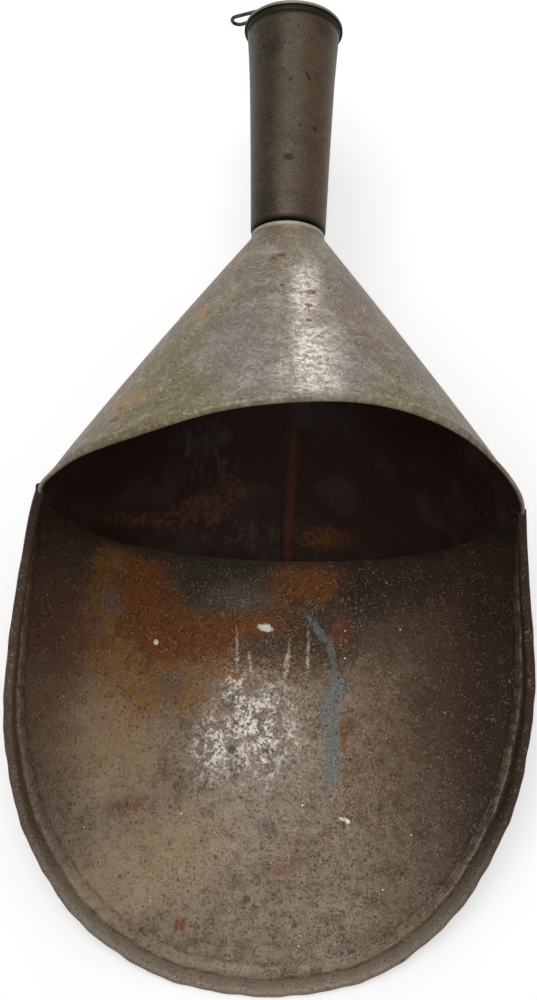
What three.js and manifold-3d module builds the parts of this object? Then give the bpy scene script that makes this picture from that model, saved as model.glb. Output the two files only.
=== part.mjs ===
// A grain scoop in tinned sheet steel: a wide round-nosed pan, a cone that hoods
// its back end, a tapered tube handle on the cone's neck, and a wire hang loop.
// Millimetres, +Z up. The scoop lies on the flat of its pan, handle towards +Y.
// Shapes are built about the scoop's long axis, with y = 0 where pan meets cone,
// and the finished group is moved so that its origin is the middle of that flat.

import * as THREE from 'three';
import { mergeVertices } from 'three/addons/utils/BufferGeometryUtils.js';
import Module from 'manifold-3d';

const wasm = await Module();
wasm.setup();

// Clearances that the fitted pieces keep
const seatGap = 0.3;
const wireGap = 0.2;
const solderGap = 0.1;
const lapGap = 0.2;

// Pan: one sheet, its rim folded over a wire, with a stiffening ridge inside the fold
const seamRadius = 95;
const panLength = 197;
const panSheet = 1;
const panWireRadius = 0.9;
const hemWidth = 6.8;
const ridgeWidth = 6.2;
const ridgeHeight = 1;
const cornerSweep = 22;
const cornerDropShare = 0.072;
const wallFlareShare = 0.28;
const flatSpreadShare = 0.1;
const noseShare = 2.3;
const spineShare = 0.72;
const cornerBlendShare = 1.6;

// Cone: one rolled sheet with a lap along its underside, a wired hood edge above,
// a skirt that enters the pan below, and a collar at the neck
const coneLength = 113;
const neckRadius = 15.6;
const collarLength = 2.5;
const coneSheet = 0.8;
const coneLap = 5;
const hoodWireRadius = 0.8;
const hoodCornerLift = 2.6;
const hoodSetBack = 13;
const skirtDepth = 5.5;
const skirtSpread = 148;
const skirtGap = 0.5;

// Handle: one rolled sheet with a lap along its underside, swaged at the narrow end
const handleLength = 100;
const gripNeckRadius = 16;
const gripEndRadius = 19.8;
const handleSheet = 0.8;
const handleLap = 4;
const swageLength = 2.4;
const plugLength = 7;
const coveLength = 3.2;
const lipFlare = 1.2;

// Cap that closes the handle, crimped round the lip
const capSheet = 0.6;
const crimpReach = 0.6;

// Hang loop and the strap that holds it to the cap
const loopWireRadius = 0.8;
const loopReach = 16.2;
const loopRound = 3;
const loopBar = 5;
const loopCorner = 1.3;
const loopRootOut = 16.3;
const loopRootTurn = 143.8;
const loopLean = 210.2;
const strapWidth = 2.6;
const strapSheet = 0.6;
const strapPad = 3;
const turnGap = 0.25;

// Solder
const solderLeg = 1.2;
const cornerSolderTop = 1.4;
const cornerSolderFoot = 0.7;
const cornerSolderLength = 6;

// How finely round shapes are divided
const rimStations = 56;
const floorRows = 15;
const ridgeSteps = 4;
const foldSteps = 6;
const wireSides = 8;
const coneSides = 64;
const handleSides = 40;
const loopSteps = 4;
const strapSteps = 8;

const tinned = new THREE.MeshStandardMaterial({ color: 0x6b5f50, roughness: 0.5, metalness: 0.8 });
const rusted = new THREE.MeshStandardMaterial({ color: 0x57402c, roughness: 0.8, metalness: 0.4 });
const handleSteel = new THREE.MeshStandardMaterial({ color: 0x52483b, roughness: 0.5, metalness: 0.8 });
const wireSteel = new THREE.MeshStandardMaterial({ color: 0x4a4338, roughness: 0.6, metalness: 0.8 });
const solderGrey = new THREE.MeshStandardMaterial({ color: 0x76706a, roughness: 0.6, metalness: 0.7 });

const rightAngle = Math.PI / 2;
const halfTurn = Math.PI;
const fullTurn = 2 * Math.PI;
const radians = THREE.MathUtils.degToRad;
const mix = THREE.MathUtils.lerp;

// Solids

// Six times the signed volume, which is negative where the faces point in
function signedVolume(geometry) {
  const position = geometry.attributes.position;
  const index = geometry.index.array;
  const corners = [new THREE.Vector3(), new THREE.Vector3(), new THREE.Vector3()];
  let sum = 0;
  for (let face = 0; face < index.length; face += 3) {
    corners.forEach((corner, i) => corner.fromBufferAttribute(position, index[face + i]));
    sum += corners[0].dot(corners[1].cross(corners[2]));
  }
  return sum;
}

// A closed geometry from points and faces: doubled points are merged, faces that
// have shrunk to a line are dropped, and the rest are turned to point out
function closedGeometry(points, faces) {
  const raw = new THREE.BufferGeometry();
  raw.setAttribute('position', new THREE.Float32BufferAttribute(points.flatMap((p) => p.toArray()), 3));
  raw.setIndex(faces.flat());
  const merged = mergeVertices(raw);
  const kept = [];
  const index = merged.index.array;
  for (let face = 0; face < index.length; face += 3) {
    const [a, b, c] = index.slice(face, face + 3);
    if (a !== b && b !== c && c !== a) kept.push([a, b, c]);
  }
  merged.setIndex(kept.flat());
  if (signedVolume(merged) < 0) merged.setIndex(kept.map(([a, b, c]) => [a, c, b]).flat());
  return merged;
}

// A solid swept through a row of matching rings. outline is the ring's flat shape,
// which divides the two end caps; a closed sweep has none. seam leaves out the last
// side of each ring, where two halves of one solid meet. Each side is divided along
// its shorter diagonal, so the two faces of a curved sheet keep an even distance.
function sweptSolid(rings, outline, { closed = false, seam = false } = {}) {
  const count = rings[0].length;
  const points = rings.flat();
  const faces = [];
  const spans = closed ? rings.length : rings.length - 1;
  for (let ring = 0; ring < spans; ring += 1) {
    const here = ring * count;
    const next = ((ring + 1) % rings.length) * count;
    for (let j = 0; j < (seam ? count - 1 : count); j += 1) {
      const k = (j + 1) % count;
      const [a, b, c, d] = [here + j, next + j, next + k, here + k];
      const upright = points[a].distanceTo(points[c]) < points[b].distanceTo(points[d]);
      faces.push(...(upright ? [[a, b, c], [a, c, d]] : [[a, b, d], [b, c, d]]));
    }
  }
  if (!closed) {
    const last = (rings.length - 1) * count;
    for (const [a, b, c] of THREE.ShapeUtils.triangulateShape(outline, [])) {
      faces.push([a, b, c], [last + a, last + c, last + b]);
    }
  }
  return { points, faces };
}

// A closed geometry swept through rings. The outline may run either way round, so the
// caps are turned over where they share an edge's direction with the sides.
function sweep(rings, outline, options) {
  const solid = sweptSolid(rings, outline, options);
  if (options?.closed) return closedGeometry(solid.points, solid.faces);
  const capCount = 2 * THREE.ShapeUtils.triangulateShape(outline, []).length;
  const sides = solid.faces.slice(0, -capCount);
  const caps = solid.faces.slice(-capCount);
  const edges = new Set(sides.flatMap(([a, b, c]) => [`${a} ${b}`, `${b} ${c}`, `${c} ${a}`]));
  const clash = caps.some(([a, b, c]) => [[a, b], [b, c], [c, a]].some(([p, q]) => edges.has(`${p} ${q}`)));
  const facing = clash ? caps.map(([a, b, c]) => [a, c, b]) : caps;
  return closedGeometry(solid.points, [...sides, ...facing]);
}

// Joins closed geometries into one solid
function joined(...geometries) {
  const solids = geometries.map((geometry) => new wasm.Manifold(new wasm.Mesh({
    numProp: 3,
    vertProperties: new Float32Array(geometry.attributes.position.array),
    triVerts: new Uint32Array(geometry.index.array),
  })));
  const whole = solids.reduce((sum, solid) => sum.add(solid)).getMesh();
  const geometry = new THREE.BufferGeometry();
  geometry.setAttribute('position', new THREE.BufferAttribute(whole.vertProperties, whole.numProp));
  geometry.setIndex(new THREE.BufferAttribute(whole.triVerts, 1));
  return geometry;
}

// A profile point is a Vector2 of radius and y; the turn starts at +X and rises to +Z
const turned = (profile, angle) => profile.map((p) => (
  new THREE.Vector3(p.x * Math.cos(angle), p.y, p.x * Math.sin(angle))));

// A profile revolved about the long axis from one angle to another
function revolved(profile, from, to, steps) {
  const rings = [];
  for (let i = 0; i <= steps; i += 1) rings.push(turned(profile, mix(from, to, i / steps)));
  return sweep(rings, profile);
}

// A closed profile revolved all the way round the long axis
function ringOf(profile, steps) {
  const rings = [];
  for (let i = 0; i < steps; i += 1) rings.push(turned(profile, (i / steps) * fullTurn));
  return sweep(rings, profile, { closed: true });
}

// A sheet rolled into a tube. outer is its outer profile from end to end. The turn
// starts at the bottom, steps in by the sheet's thickness as it comes round, and
// laps under its own start. cut says how far back the first edge lies at an angle.
function rolledTube(outer, sheet, lap, sides, cut = () => 0) {
  const stepIn = sheet + lapGap;
  const profileAt = (angle, shift) => {
    const back = cut(angle) / (outer[1].y - outer[0].y);
    const line = [outer[0].clone().lerp(outer[1], back), ...outer.slice(1)];
    const inner = line.map((p) => new THREE.Vector2(p.x - sheet - shift, p.y)).reverse();
    return [...line.map((p) => new THREE.Vector2(p.x - shift, p.y)), ...inner];
  };
  const rings = [];
  for (let i = 0; i <= sides; i += 1) {
    const angle = -rightAngle + (i / sides) * fullTurn;
    rings.push(turned(profileAt(angle, i < sides ? 0 : stepIn), angle));
  }
  const profile = profileAt(-rightAngle, 0);
  const flap = profile.map((p) => {
    const angle = -rightAngle + lap / p.x;
    return turned([new THREE.Vector2(p.x - stepIn, p.y)], angle)[0];
  });
  rings.push(flap);
  return sweep(rings, profile);
}

// An arc of Vector2 points about a centre
function arc(cx, cy, radius, from, to, steps) {
  const points = [];
  for (let i = 0; i <= steps; i += 1) {
    const angle = mix(from, to, i / steps);
    points.push(new THREE.Vector2(cx + radius * Math.cos(angle), cy + radius * Math.sin(angle)));
  }
  return points;
}

function named(name, geometry, material) {
  geometry.computeVertexNormals();
  const mesh = new THREE.Mesh(geometry, material);
  mesh.name = name;
  return mesh;
}

// The pan's surface

// A place on the pan's inner face, from the distance across the sheet, measured
// round the section, and the distance ahead of the seam. The section is a flat
// with an arc at each side, and both grow towards the nose.
function panFace(across, ahead) {
  const side = Math.sign(across);
  const flat = flatSpreadShare * ahead;
  const bend = seamRadius + wallFlareShare * ahead;
  const turn = Math.max(Math.abs(across) - flat, 0) / bend;
  const onFlat = turn === 0;
  const x = onFlat ? across : side * (flat + bend * Math.sin(turn));
  const z = bend * (1 - Math.cos(turn)) - seamRadius;
  const spread = flatSpreadShare + turn * wallFlareShare;
  const widening = flatSpreadShare + wallFlareShare * Math.sin(turn);
  const alongX = onFlat ? 0 : side * (widening - Math.cos(turn) * spread);
  const alongZ = wallFlareShare * (1 - Math.cos(turn)) - Math.sin(turn) * spread;
  const acrossWay = new THREE.Vector3(Math.cos(turn), 0, (side || 1) * Math.sin(turn));
  const aheadWay = new THREE.Vector3(alongX, -1, onFlat ? 0 : alongZ);
  const normal = new THREE.Vector3().crossVectors(aheadWay, acrossWay).normalize();
  if (normal.z < 0) normal.negate();
  if (ahead === 0) normal.setY(0).normalize();
  return { point: new THREE.Vector3(x, -(ahead + seatGap), z), normal };
}

// Half the pan's width across the sheet, by the distance ahead of the seam: a quick
// sweep down from the corner, then a rounded nose
function rimAcross(ahead) {
  const corner = cornerDropShare * Math.exp(-ahead / cornerSweep);
  const noseCurve = Math.sqrt(Math.max(1 - (ahead / panLength) ** noseShare, 0));
  return seamRadius * rightAngle * (corner + (1 - cornerDropShare) * noseCurve);
}

// Stations along the rim from the left corner round the nose to the right corner,
// evenly spaced, each with the way in from the rim across the sheet. That way is
// square to the rim, but turns along the seam near the corners.
function rimLine() {
  const fine = rimStations * rimStations;
  const half = [];
  for (let i = 0; i <= fine; i += 1) {
    const ahead = panLength * Math.sin((i / fine) * rightAngle);
    half.push(new THREE.Vector2(i === fine ? 0 : -rimAcross(ahead), ahead));
  }
  const mirrored = half.slice(0, -1).map((p) => new THREE.Vector2(-p.x, p.y)).reverse();
  const line = [...half, ...mirrored];
  const lengths = [0];
  for (let i = 1; i < line.length; i += 1) lengths.push(lengths[i - 1] + line[i].distanceTo(line[i - 1]));
  const total = lengths[lengths.length - 1];
  const stations = [];
  let at = 0;
  for (let i = 0; i <= rimStations; i += 1) {
    const target = (total * i) / rimStations;
    while (at < line.length - 2 && lengths[at + 1] < target) at += 1;
    const share = (target - lengths[at]) / (lengths[at + 1] - lengths[at]);
    stations.push(line[at].clone().lerp(line[at + 1], share));
  }
  stations[rimStations / 2].x = 0;
  return stations.map((place, i) => {
    const before = stations[Math.max(i - 1, 0)];
    const after = stations[Math.min(i + 1, rimStations)];
    const along = after.clone().sub(before).normalize();
    const square = new THREE.Vector2(along.y, -along.x);
    const across = new THREE.Vector2(-Math.sign(place.x), 0);
    const share = THREE.MathUtils.smoothstep(place.y, 0, cornerBlendShare * cornerSweep);
    return { place, inward: across.lerp(square, share).normalize() };
  });
}

// Where a distance in from the rim, and a height over the inner face, lie in space
function panPoint(station, inFromRim, height) {
  const across = station.place.x + station.inward.x * inFromRim;
  const ahead = Math.max(station.place.y + station.inward.y * inFromRim, 0);
  const { point, normal } = panFace(across, ahead);
  return point.addScaledVector(normal, height);
}

// The directions at a rim station: out past the rim, and up from the inner face
function rimFrame(station) {
  const { point, normal } = panFace(station.place.x, station.place.y);
  const inside = panPoint(station, hemWidth, 0);
  const out = point.clone().sub(inside);
  out.addScaledVector(normal, -out.dot(normal)).normalize();
  return { point, normal, out };
}

// The fold's inner radius round the wire, which is also the wire's height over the sheet
const foldRadius = panWireRadius + wireGap;

// One section of the pan, from its middle out over the ridge, in under the fold,
// round the wire, and back along the underside
function panRing(station) {
  const { place } = station;
  const ridgeEnd = hemWidth + ridgeWidth;
  const edge = new THREE.Vector2(
    place.x + station.inward.x * ridgeEnd,
    Math.max(place.y + station.inward.y * ridgeEnd, 0),
  );
  const middle = new THREE.Vector2(0, spineShare * place.y);
  const reach = Math.abs(edge.x) - flatSpreadShare * edge.y;
  const flatEdge = Math.max(reach > 0 ? reach / (reach + flatSpreadShare * middle.y) : 0, 1 / floorRows);
  const floor = [];
  for (let row = 0; row < floorRows; row += 1) {
    const share = row === 0 ? 1 : (flatEdge * (floorRows - row)) / (floorRows - 1);
    floor.push(edge.clone().lerp(middle, share));
  }
  const face = (spot, height) => {
    const { point, normal } = panFace(spot.x, spot.y);
    return point.addScaledVector(normal, height);
  };
  const ridge = [];
  for (let i = 0; i <= ridgeSteps; i += 1) {
    const rise = ridgeHeight * Math.sin((i / ridgeSteps) * halfTurn);
    ridge.push({ inFromRim: ridgeEnd - (ridgeWidth * i) / ridgeSteps, rise });
  }
  const { point, normal, out } = rimFrame(station);
  const centre = point.clone().addScaledVector(normal, foldRadius);
  const fold = (radius, from, to) => arc(0, 0, radius, from, to, foldSteps).map((p) => (
    centre.clone().addScaledVector(out, p.x).addScaledVector(normal, p.y)));
  const legTip = hemWidth - solderGap;
  return [
    ...floor.map((spot) => face(spot, 0)),
    ...ridge.map(({ inFromRim, rise }) => panPoint(station, inFromRim, rise)),
    ...fold(foldRadius, -rightAngle, rightAngle),
    panPoint(station, legTip, solderGap),
    panPoint(station, legTip, solderGap + panSheet / 2),
    ...fold(foldRadius + panSheet, rightAngle, -rightAngle),
    ...ridge.reverse().map(({ inFromRim, rise }) => panPoint(station, inFromRim, rise - panSheet)),
    ...floor.reverse().map((spot) => face(spot, -panSheet)),
  ];
}

// The same section laid flat, to divide the pan's two cut ends at the seam
function flatOutline(ring, station) {
  const { point } = rimFrame(station);
  const middle = new THREE.Vector2(point.x, point.z);
  return ring.map((p) => new THREE.Vector2(p.x, p.z).sub(middle));
}

function panSheetGeometry(stations) {
  const rings = stations.map(panRing);
  const outline = flatOutline(rings[0], stations[0]);
  return sweep(rings, outline, { seam: true });
}

function panWireGeometry(stations) {
  const outline = arc(0, 0, panWireRadius, 0, fullTurn, wireSides).slice(0, -1);
  const rings = stations.map((station) => {
    const { point, normal, out } = rimFrame(station);
    const centre = point.clone().addScaledVector(normal, foldRadius);
    return outline.map((p) => centre.clone().addScaledVector(out, p.x).addScaledVector(normal, p.y));
  });
  return sweep(rings, outline);
}

// The cone

const coneMouth = seamRadius - skirtGap;
const coneSlope = Math.atan2(coneMouth - neckRadius, coneLength);
const collarEnd = coneLength + collarLength;
const coneRadius = (y) => mix(coneMouth, neckRadius, y / coneLength);

// How deep the added forms reach into the cone's sheet, so that they join it
const bite = coneSheet / 4;

// The roll round a wire at an edge that points along heading, in radius and y. It
// starts inside the sheet and curls outwards.
function wiredEdge(root, heading, wireRadius, sheet) {
  const radius = wireRadius + wireGap;
  const outward = new THREE.Vector2(-heading.y, heading.x);
  const place = (p) => root.clone().addScaledVector(heading, p.x).addScaledVector(outward, p.y);
  const curlEnd = halfTurn + rightAngle / 3;
  const local = [
    new THREE.Vector2(-wireRadius, -bite),
    ...arc(0, radius, radius, -rightAngle, curlEnd, 2 * foldSteps).slice(1),
    ...arc(0, radius, radius + sheet, -rightAngle, curlEnd, 2 * foldSteps).reverse().slice(0, -1),
    new THREE.Vector2(0, -sheet),
    new THREE.Vector2(-wireRadius, bite - sheet),
  ];
  return { profile: local.map(place), centre: place(new THREE.Vector2(0, radius)) };
}

const hoodHeading = new THREE.Vector2(Math.sin(coneSlope), -Math.cos(coneSlope));
const hoodEdge = wiredEdge(new THREE.Vector2(coneMouth, 0), hoodHeading, hoodWireRadius, coneSheet);
const hoodStart = Math.asin(hoodCornerLift / seamRadius);

// How far back the hood's edge lies at an angle round the cone. The edge is cut along a
// plane through the two corners that leans back by hoodSetBack at the seam's radius.
function hoodCut(angle) {
  const lean = (hoodSetBack / seamRadius) * Math.max(Math.sin(angle), 0);
  return (lean * coneMouth) / (1 + lean * Math.tan(coneSlope));
}

// A profile of the hood's edge, carried along the edge from corner to corner
function alongHood(profile) {
  const steps = coneSides / 2;
  const rings = [];
  for (let i = 0; i <= steps; i += 1) {
    const angle = mix(hoodStart, halfTurn - hoodStart, i / steps);
    const back = hoodCut(angle);
    const slide = new THREE.Vector2(-back * Math.tan(coneSlope), back);
    rings.push(turned(profile.map((p) => p.clone().add(slide)), angle));
  }
  return sweep(rings, profile);
}

// The skirt follows the pan's inner face into the pan, and its root runs up inside the cone
function skirtGeometry() {
  const half = radians(skirtSpread) / 2;
  const steps = coneSides / 2;
  const run = 2 * coneSheet;
  const rings = [];
  for (let i = 0; i <= steps; i += 1) {
    const turn = mix(-half, half, i / steps);
    const root = (depth, back) => {
      const radius = coneRadius(back) - depth;
      return new THREE.Vector3(radius * Math.sin(turn), back, -radius * Math.cos(turn));
    };
    const front = panFace(turn * seamRadius, skirtDepth);
    rings.push([
      front.point.clone().addScaledVector(front.normal, skirtGap),
      root(0, 0),
      root(bite, run),
      root(coneSheet - bite, run),
      root(coneSheet, 0),
      front.point.clone().addScaledVector(front.normal, skirtGap + coneSheet),
    ]);
  }
  const outline = [
    new THREE.Vector2(0, -skirtDepth),
    new THREE.Vector2(0, 0),
    new THREE.Vector2(bite, run),
    new THREE.Vector2(coneSheet - bite, run),
    new THREE.Vector2(coneSheet, 0),
    new THREE.Vector2(coneSheet, -skirtDepth),
  ];
  return sweep(rings, outline);
}

function coneGeometry() {
  const outer = [
    new THREE.Vector2(coneMouth, 0),
    new THREE.Vector2(neckRadius, coneLength),
    new THREE.Vector2(neckRadius, collarEnd),
  ];
  const shell = rolledTube(outer, coneSheet, coneLap, coneSides, hoodCut);
  return joined(shell, alongHood(hoodEdge.profile), skirtGeometry());
}

function hoodWireGeometry() {
  const { centre } = hoodEdge;
  return alongHood(arc(centre.x, centre.y, hoodWireRadius, 0, fullTurn, wireSides).slice(0, -1));
}

// The handle

const gripStart = collarEnd + seatGap;
const swageEnd = gripStart + swageLength;
const plugRadius = neckRadius - 2 * coneSheet - lapGap - seatGap;
const lipRadius = gripEndRadius + lipFlare;
const coveRadius = gripEndRadius + lipFlare / 4;
const lipEnd = gripStart + handleLength;
const coveStart = lipEnd - coveLength;

function handleOuter() {
  return [
    new THREE.Vector2(plugRadius, coneLength - plugLength),
    new THREE.Vector2(plugRadius, gripStart + swageLength / 2),
    new THREE.Vector2(gripNeckRadius, swageEnd),
    new THREE.Vector2(gripEndRadius, coveStart),
    new THREE.Vector2(coveRadius, lipEnd - coveLength / 2),
    new THREE.Vector2(lipRadius, lipEnd - handleSheet),
    new THREE.Vector2(lipRadius, lipEnd),
  ];
}

// The cap: a disc whose edge turns back over the handle's lip
function capGeometry() {
  const inside = lipEnd + seatGap;
  const bore = lipRadius + seatGap;
  const rim = lipEnd - handleSheet - crimpReach;
  const profile = [
    new THREE.Vector2(0, inside),
    new THREE.Vector2(bore, inside),
    new THREE.Vector2(bore, rim),
    new THREE.Vector2(bore + capSheet, rim),
    new THREE.Vector2(bore + capSheet, inside + capSheet),
    new THREE.Vector2(0, inside + capSheet),
  ];
  const lathe = new THREE.LatheGeometry(profile, handleSides);
  lathe.deleteAttribute('normal');
  lathe.deleteAttribute('uv');
  const position = lathe.attributes.position;
  const points = [];
  for (let i = 0; i < position.count; i += 1) {
    points.push(new THREE.Vector3().fromBufferAttribute(position, i));
  }
  const axisPoints = points.map((p) => (Math.hypot(p.x, p.z) < solderGap ? p.set(0, p.y, 0) : p));
  const index = lathe.index.array;
  const faces = [];
  for (let i = 0; i < index.length; i += 3) faces.push([...index.slice(i, i + 3)]);
  return closedGeometry(axisPoints, faces);
}

const capFace = lipEnd + seatGap + capSheet;

// The hang loop and its strap, laid out flat on the cap: first along the bar that
// the loop turns on, then the way that the loop reaches

const loopWay = radians(loopLean);
const reachWay = new THREE.Vector3(Math.cos(loopWay), 0, Math.sin(loopWay));
const barWay = new THREE.Vector3(Math.sin(loopWay), 0, -Math.cos(loopWay));
const rootTurn = radians(loopRootTurn);
const loopPlane = capFace + turnGap + loopWireRadius;
const loopRoot = new THREE.Vector3(
  loopRootOut * Math.cos(rootTurn),
  loopPlane,
  loopRootOut * Math.sin(rootTurn),
);

// Arcs round the two ends of the bar and round the far end, joined by straight wire
function loopCentreLine() {
  const cornerAt = new THREE.Vector2(loopBar / 2 - loopCorner, loopCorner);
  const far = loopReach - loopRound;
  const toFar = new THREE.Vector2(-cornerAt.x, far - cornerAt.y);
  const tangent = toFar.angle() - Math.acos((loopCorner - loopRound) / toFar.length());
  return [
    ...arc(cornerAt.x, cornerAt.y, loopCorner, -rightAngle, tangent, loopSteps),
    ...arc(0, far, loopRound, tangent, halfTurn - tangent, 4 * loopSteps),
    ...arc(-cornerAt.x, cornerAt.y, loopCorner, halfTurn - tangent, halfTurn + rightAngle, loopSteps),
  ];
}

function loopGeometry() {
  const line = loopCentreLine();
  const back = new THREE.Vector3(0, 1, 0);
  const rings = line.map((p, i) => {
    const before = line[(i + line.length - 1) % line.length];
    const after = line[(i + 1) % line.length];
    const along = after.clone().sub(p).normalize().add(p.clone().sub(before).normalize()).normalize();
    const side = barWay.clone().multiplyScalar(along.y).addScaledVector(reachWay, -along.x);
    const centre = loopRoot.clone().addScaledVector(barWay, p.x).addScaledVector(reachWay, p.y);
    return arc(0, 0, loopWireRadius, 0, fullTurn, wireSides).slice(0, -1).map((q) => (
      centre.clone().addScaledVector(side, q.x).addScaledVector(back, q.y)));
  });
  return sweep(rings, null, { closed: true });
}

// A flat outline on the cap, across the reach and up from the cap, drawn out along the bar
function barPrism(outline, width) {
  const base = new THREE.Vector3(loopRoot.x, capFace, loopRoot.z);
  const rings = [-width / 2, width / 2].map((along) => outline.map((p) => (
    base.clone().addScaledVector(barWay, along).addScaledVector(reachWay, p.x).setY(capFace + p.y))));
  return sweep(rings, outline);
}

const tunnel = loopWireRadius + turnGap;
const strapHalf = tunnel + strapSheet + strapPad;

function strapGeometry() {
  const rise = turnGap + loopWireRadius;
  const outline = [
    new THREE.Vector2(-strapHalf, solderGap),
    new THREE.Vector2(-tunnel, solderGap),
    ...arc(0, rise, tunnel, halfTurn, 0, strapSteps),
    new THREE.Vector2(tunnel, solderGap),
    new THREE.Vector2(strapHalf, solderGap),
    new THREE.Vector2(strapHalf, solderGap + strapSheet),
    new THREE.Vector2(tunnel + strapSheet, solderGap + strapSheet),
    ...arc(0, rise, tunnel + strapSheet, 0, halfTurn, strapSteps),
    new THREE.Vector2(-tunnel - strapSheet, solderGap + strapSheet),
    new THREE.Vector2(-strapHalf, solderGap + strapSheet),
  ];
  return barPrism(outline, strapWidth);
}

// A fillet of solder at one end of the strap
function strapSolderGeometry(side) {
  const start = strapHalf + solderGap;
  const outline = [
    new THREE.Vector2(side * start, solderGap),
    new THREE.Vector2(side * (start + solderLeg), solderGap),
    new THREE.Vector2(side * start, solderGap + strapSheet),
  ];
  return barPrism(outline, strapWidth);
}

// Solder

// Round the outside of the seam, in the corner between the pan's back edge and the cone
function panSeamSolderGeometry() {
  const profile = [
    new THREE.Vector2(coneRadius(0) + seatGap, 0),
    new THREE.Vector2(seamRadius + panSheet - solderGap, 0),
    new THREE.Vector2(coneRadius(solderLeg) + seatGap, solderLeg),
  ];
  return revolved(profile, halfTurn, fullTurn, coneSides / 2);
}

// Round the neck, between the collar's edge and the swage of the handle
function neckSolderGeometry() {
  const foot = plugRadius + solderGap;
  const start = collarEnd + solderGap;
  const profile = [
    new THREE.Vector2(foot, start),
    new THREE.Vector2(neckRadius - solderGap, start),
    new THREE.Vector2(foot, start + swageLength / 3),
  ];
  return ringOf(profile, handleSides);
}

// Along the inside of the cone's lap, beside the free edge of the flap
function coneSeamSolderGeometry() {
  const rings = [skirtDepth, coneLength - plugLength - seatGap].map((y) => {
    const face = coneRadius(y) - coneSheet;
    const spot = (depth, past) => {
      const angle = -rightAngle + (coneLap + past) / face;
      return turned([new THREE.Vector2(face - lapGap - depth, y)], angle)[0];
    };
    return [spot(0, solderGap * 2), spot(0, solderGap * 2 + solderLeg), spot(coneSheet, solderGap * 2)];
  });
  const outline = [new THREE.Vector2(), new THREE.Vector2(solderLeg, 0), new THREE.Vector2(0, coneSheet)];
  return sweep(rings, outline);
}

// Along the underside of the handle, filling the step where the sheet comes round
function handleSeamSolderGeometry() {
  const rings = [[gripNeckRadius, swageEnd], [gripEndRadius, coveStart]].map(([radius, y]) => {
    const spot = (depth, past) => (
      turned([new THREE.Vector2(radius - depth, y)], -rightAngle - past / radius)[0]);
    return [
      spot(solderGap, solderGap),
      spot(handleSheet - solderGap, solderGap),
      spot(solderGap, solderLeg),
    ];
  });
  const outline = [
    new THREE.Vector2(),
    new THREE.Vector2(0, -handleSheet),
    new THREE.Vector2(-solderLeg, 0),
  ];
  return sweep(rings, outline);
}

// A lump at each corner, under the end of the hood's roll and outside the pan
function cornerSolderGeometry(side) {
  const top = hoodCornerLift - seatGap;
  const out = seamRadius + panSheet + seatGap + cornerSolderTop;
  const level = (y, radius) => arc(side * out, solderLeg, radius, 0, fullTurn, wireSides).slice(0, -1)
    .map((p) => new THREE.Vector3(p.x, p.y, y));
  const outline = arc(0, 0, cornerSolderTop, 0, fullTurn, wireSides).slice(0, -1);
  return sweep([level(top, cornerSolderTop), level(top - cornerSolderLength, cornerSolderFoot)], outline);
}

// The scoop

const stations = rimLine();
const scoop = new THREE.Group();
scoop.add(
  named('pan_sheet', panSheetGeometry(stations), rusted),
  named('pan_rim_wire', panWireGeometry(stations), wireSteel),
  named('cone_sheet', coneGeometry(), tinned),
  named('hood_rim_wire', hoodWireGeometry(), wireSteel),
  named('cone_seam_solder', coneSeamSolderGeometry(), solderGrey),
  named('pan_seam_solder', panSeamSolderGeometry(), solderGrey),
  named('corner_solder_left', cornerSolderGeometry(-1), solderGrey),
  named('corner_solder_right', cornerSolderGeometry(1), solderGrey),
  named('handle_tube', rolledTube(handleOuter(), handleSheet, handleLap, handleSides), handleSteel),
  named('handle_seam_solder', handleSeamSolderGeometry(), solderGrey),
  named('neck_solder', neckSolderGeometry(), solderGrey),
  named('handle_cap', capGeometry(), handleSteel),
  named('loop_strap', strapGeometry(), handleSteel),
  named('strap_solder_outer', strapSolderGeometry(1), solderGrey),
  named('strap_solder_inner', strapSolderGeometry(-1), solderGrey),
  named('hang_loop', loopGeometry(), wireSteel),
);

// The origin is the middle of the flat that the pan rests on
scoop.position.set(0, panLength / 2, seamRadius + panSheet);

export default scoop;
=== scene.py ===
"""An old tinned-steel grain scoop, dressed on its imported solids.

The sheets are built again here from the same sizes as the solids, but finely
enough to show the rolled rims, the wear and the small dents of the real one.
Shapes are laid out in millimetres about the scoop's long axis, with y = 0 where
the pan meets the cone, and are then placed in the part's own frame in metres.
"""

from __future__ import annotations

import logging
import math
from collections.abc import Callable, Sequence
from dataclasses import dataclass
from enum import Enum

import bmesh
import bpy
import numpy as np
from mathutils import Matrix, Vector
from mathutils.bvhtree import BVHTree

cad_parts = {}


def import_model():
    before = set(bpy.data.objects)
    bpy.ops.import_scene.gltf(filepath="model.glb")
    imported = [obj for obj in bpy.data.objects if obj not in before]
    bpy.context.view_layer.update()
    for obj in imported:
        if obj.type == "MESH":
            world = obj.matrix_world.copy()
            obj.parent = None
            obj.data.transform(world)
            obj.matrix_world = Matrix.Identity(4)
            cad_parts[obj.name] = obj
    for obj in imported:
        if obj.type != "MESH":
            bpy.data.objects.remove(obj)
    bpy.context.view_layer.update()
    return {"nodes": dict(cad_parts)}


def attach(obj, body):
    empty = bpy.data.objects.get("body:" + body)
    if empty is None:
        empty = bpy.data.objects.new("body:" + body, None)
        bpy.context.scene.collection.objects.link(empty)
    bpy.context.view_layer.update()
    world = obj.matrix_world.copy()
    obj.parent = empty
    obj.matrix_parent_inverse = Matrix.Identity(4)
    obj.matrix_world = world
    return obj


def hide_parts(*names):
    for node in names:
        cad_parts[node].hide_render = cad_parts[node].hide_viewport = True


MM = 0.001
# A patch's fade reaches this many times further than the patch, to hold its ragged edge.
FADE = 3.0
# So long a reach, in metres, that a mask has no end that way.
ENDLESS = 1000.0
QUARTER = math.pi / 2
TURN = 2 * math.pi
SCOOP = "scoop_body"
LOOP = "hang_loop"
RIM_WAY = "rim_way"
LOG = logging.getLogger("grain_scoop")

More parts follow.
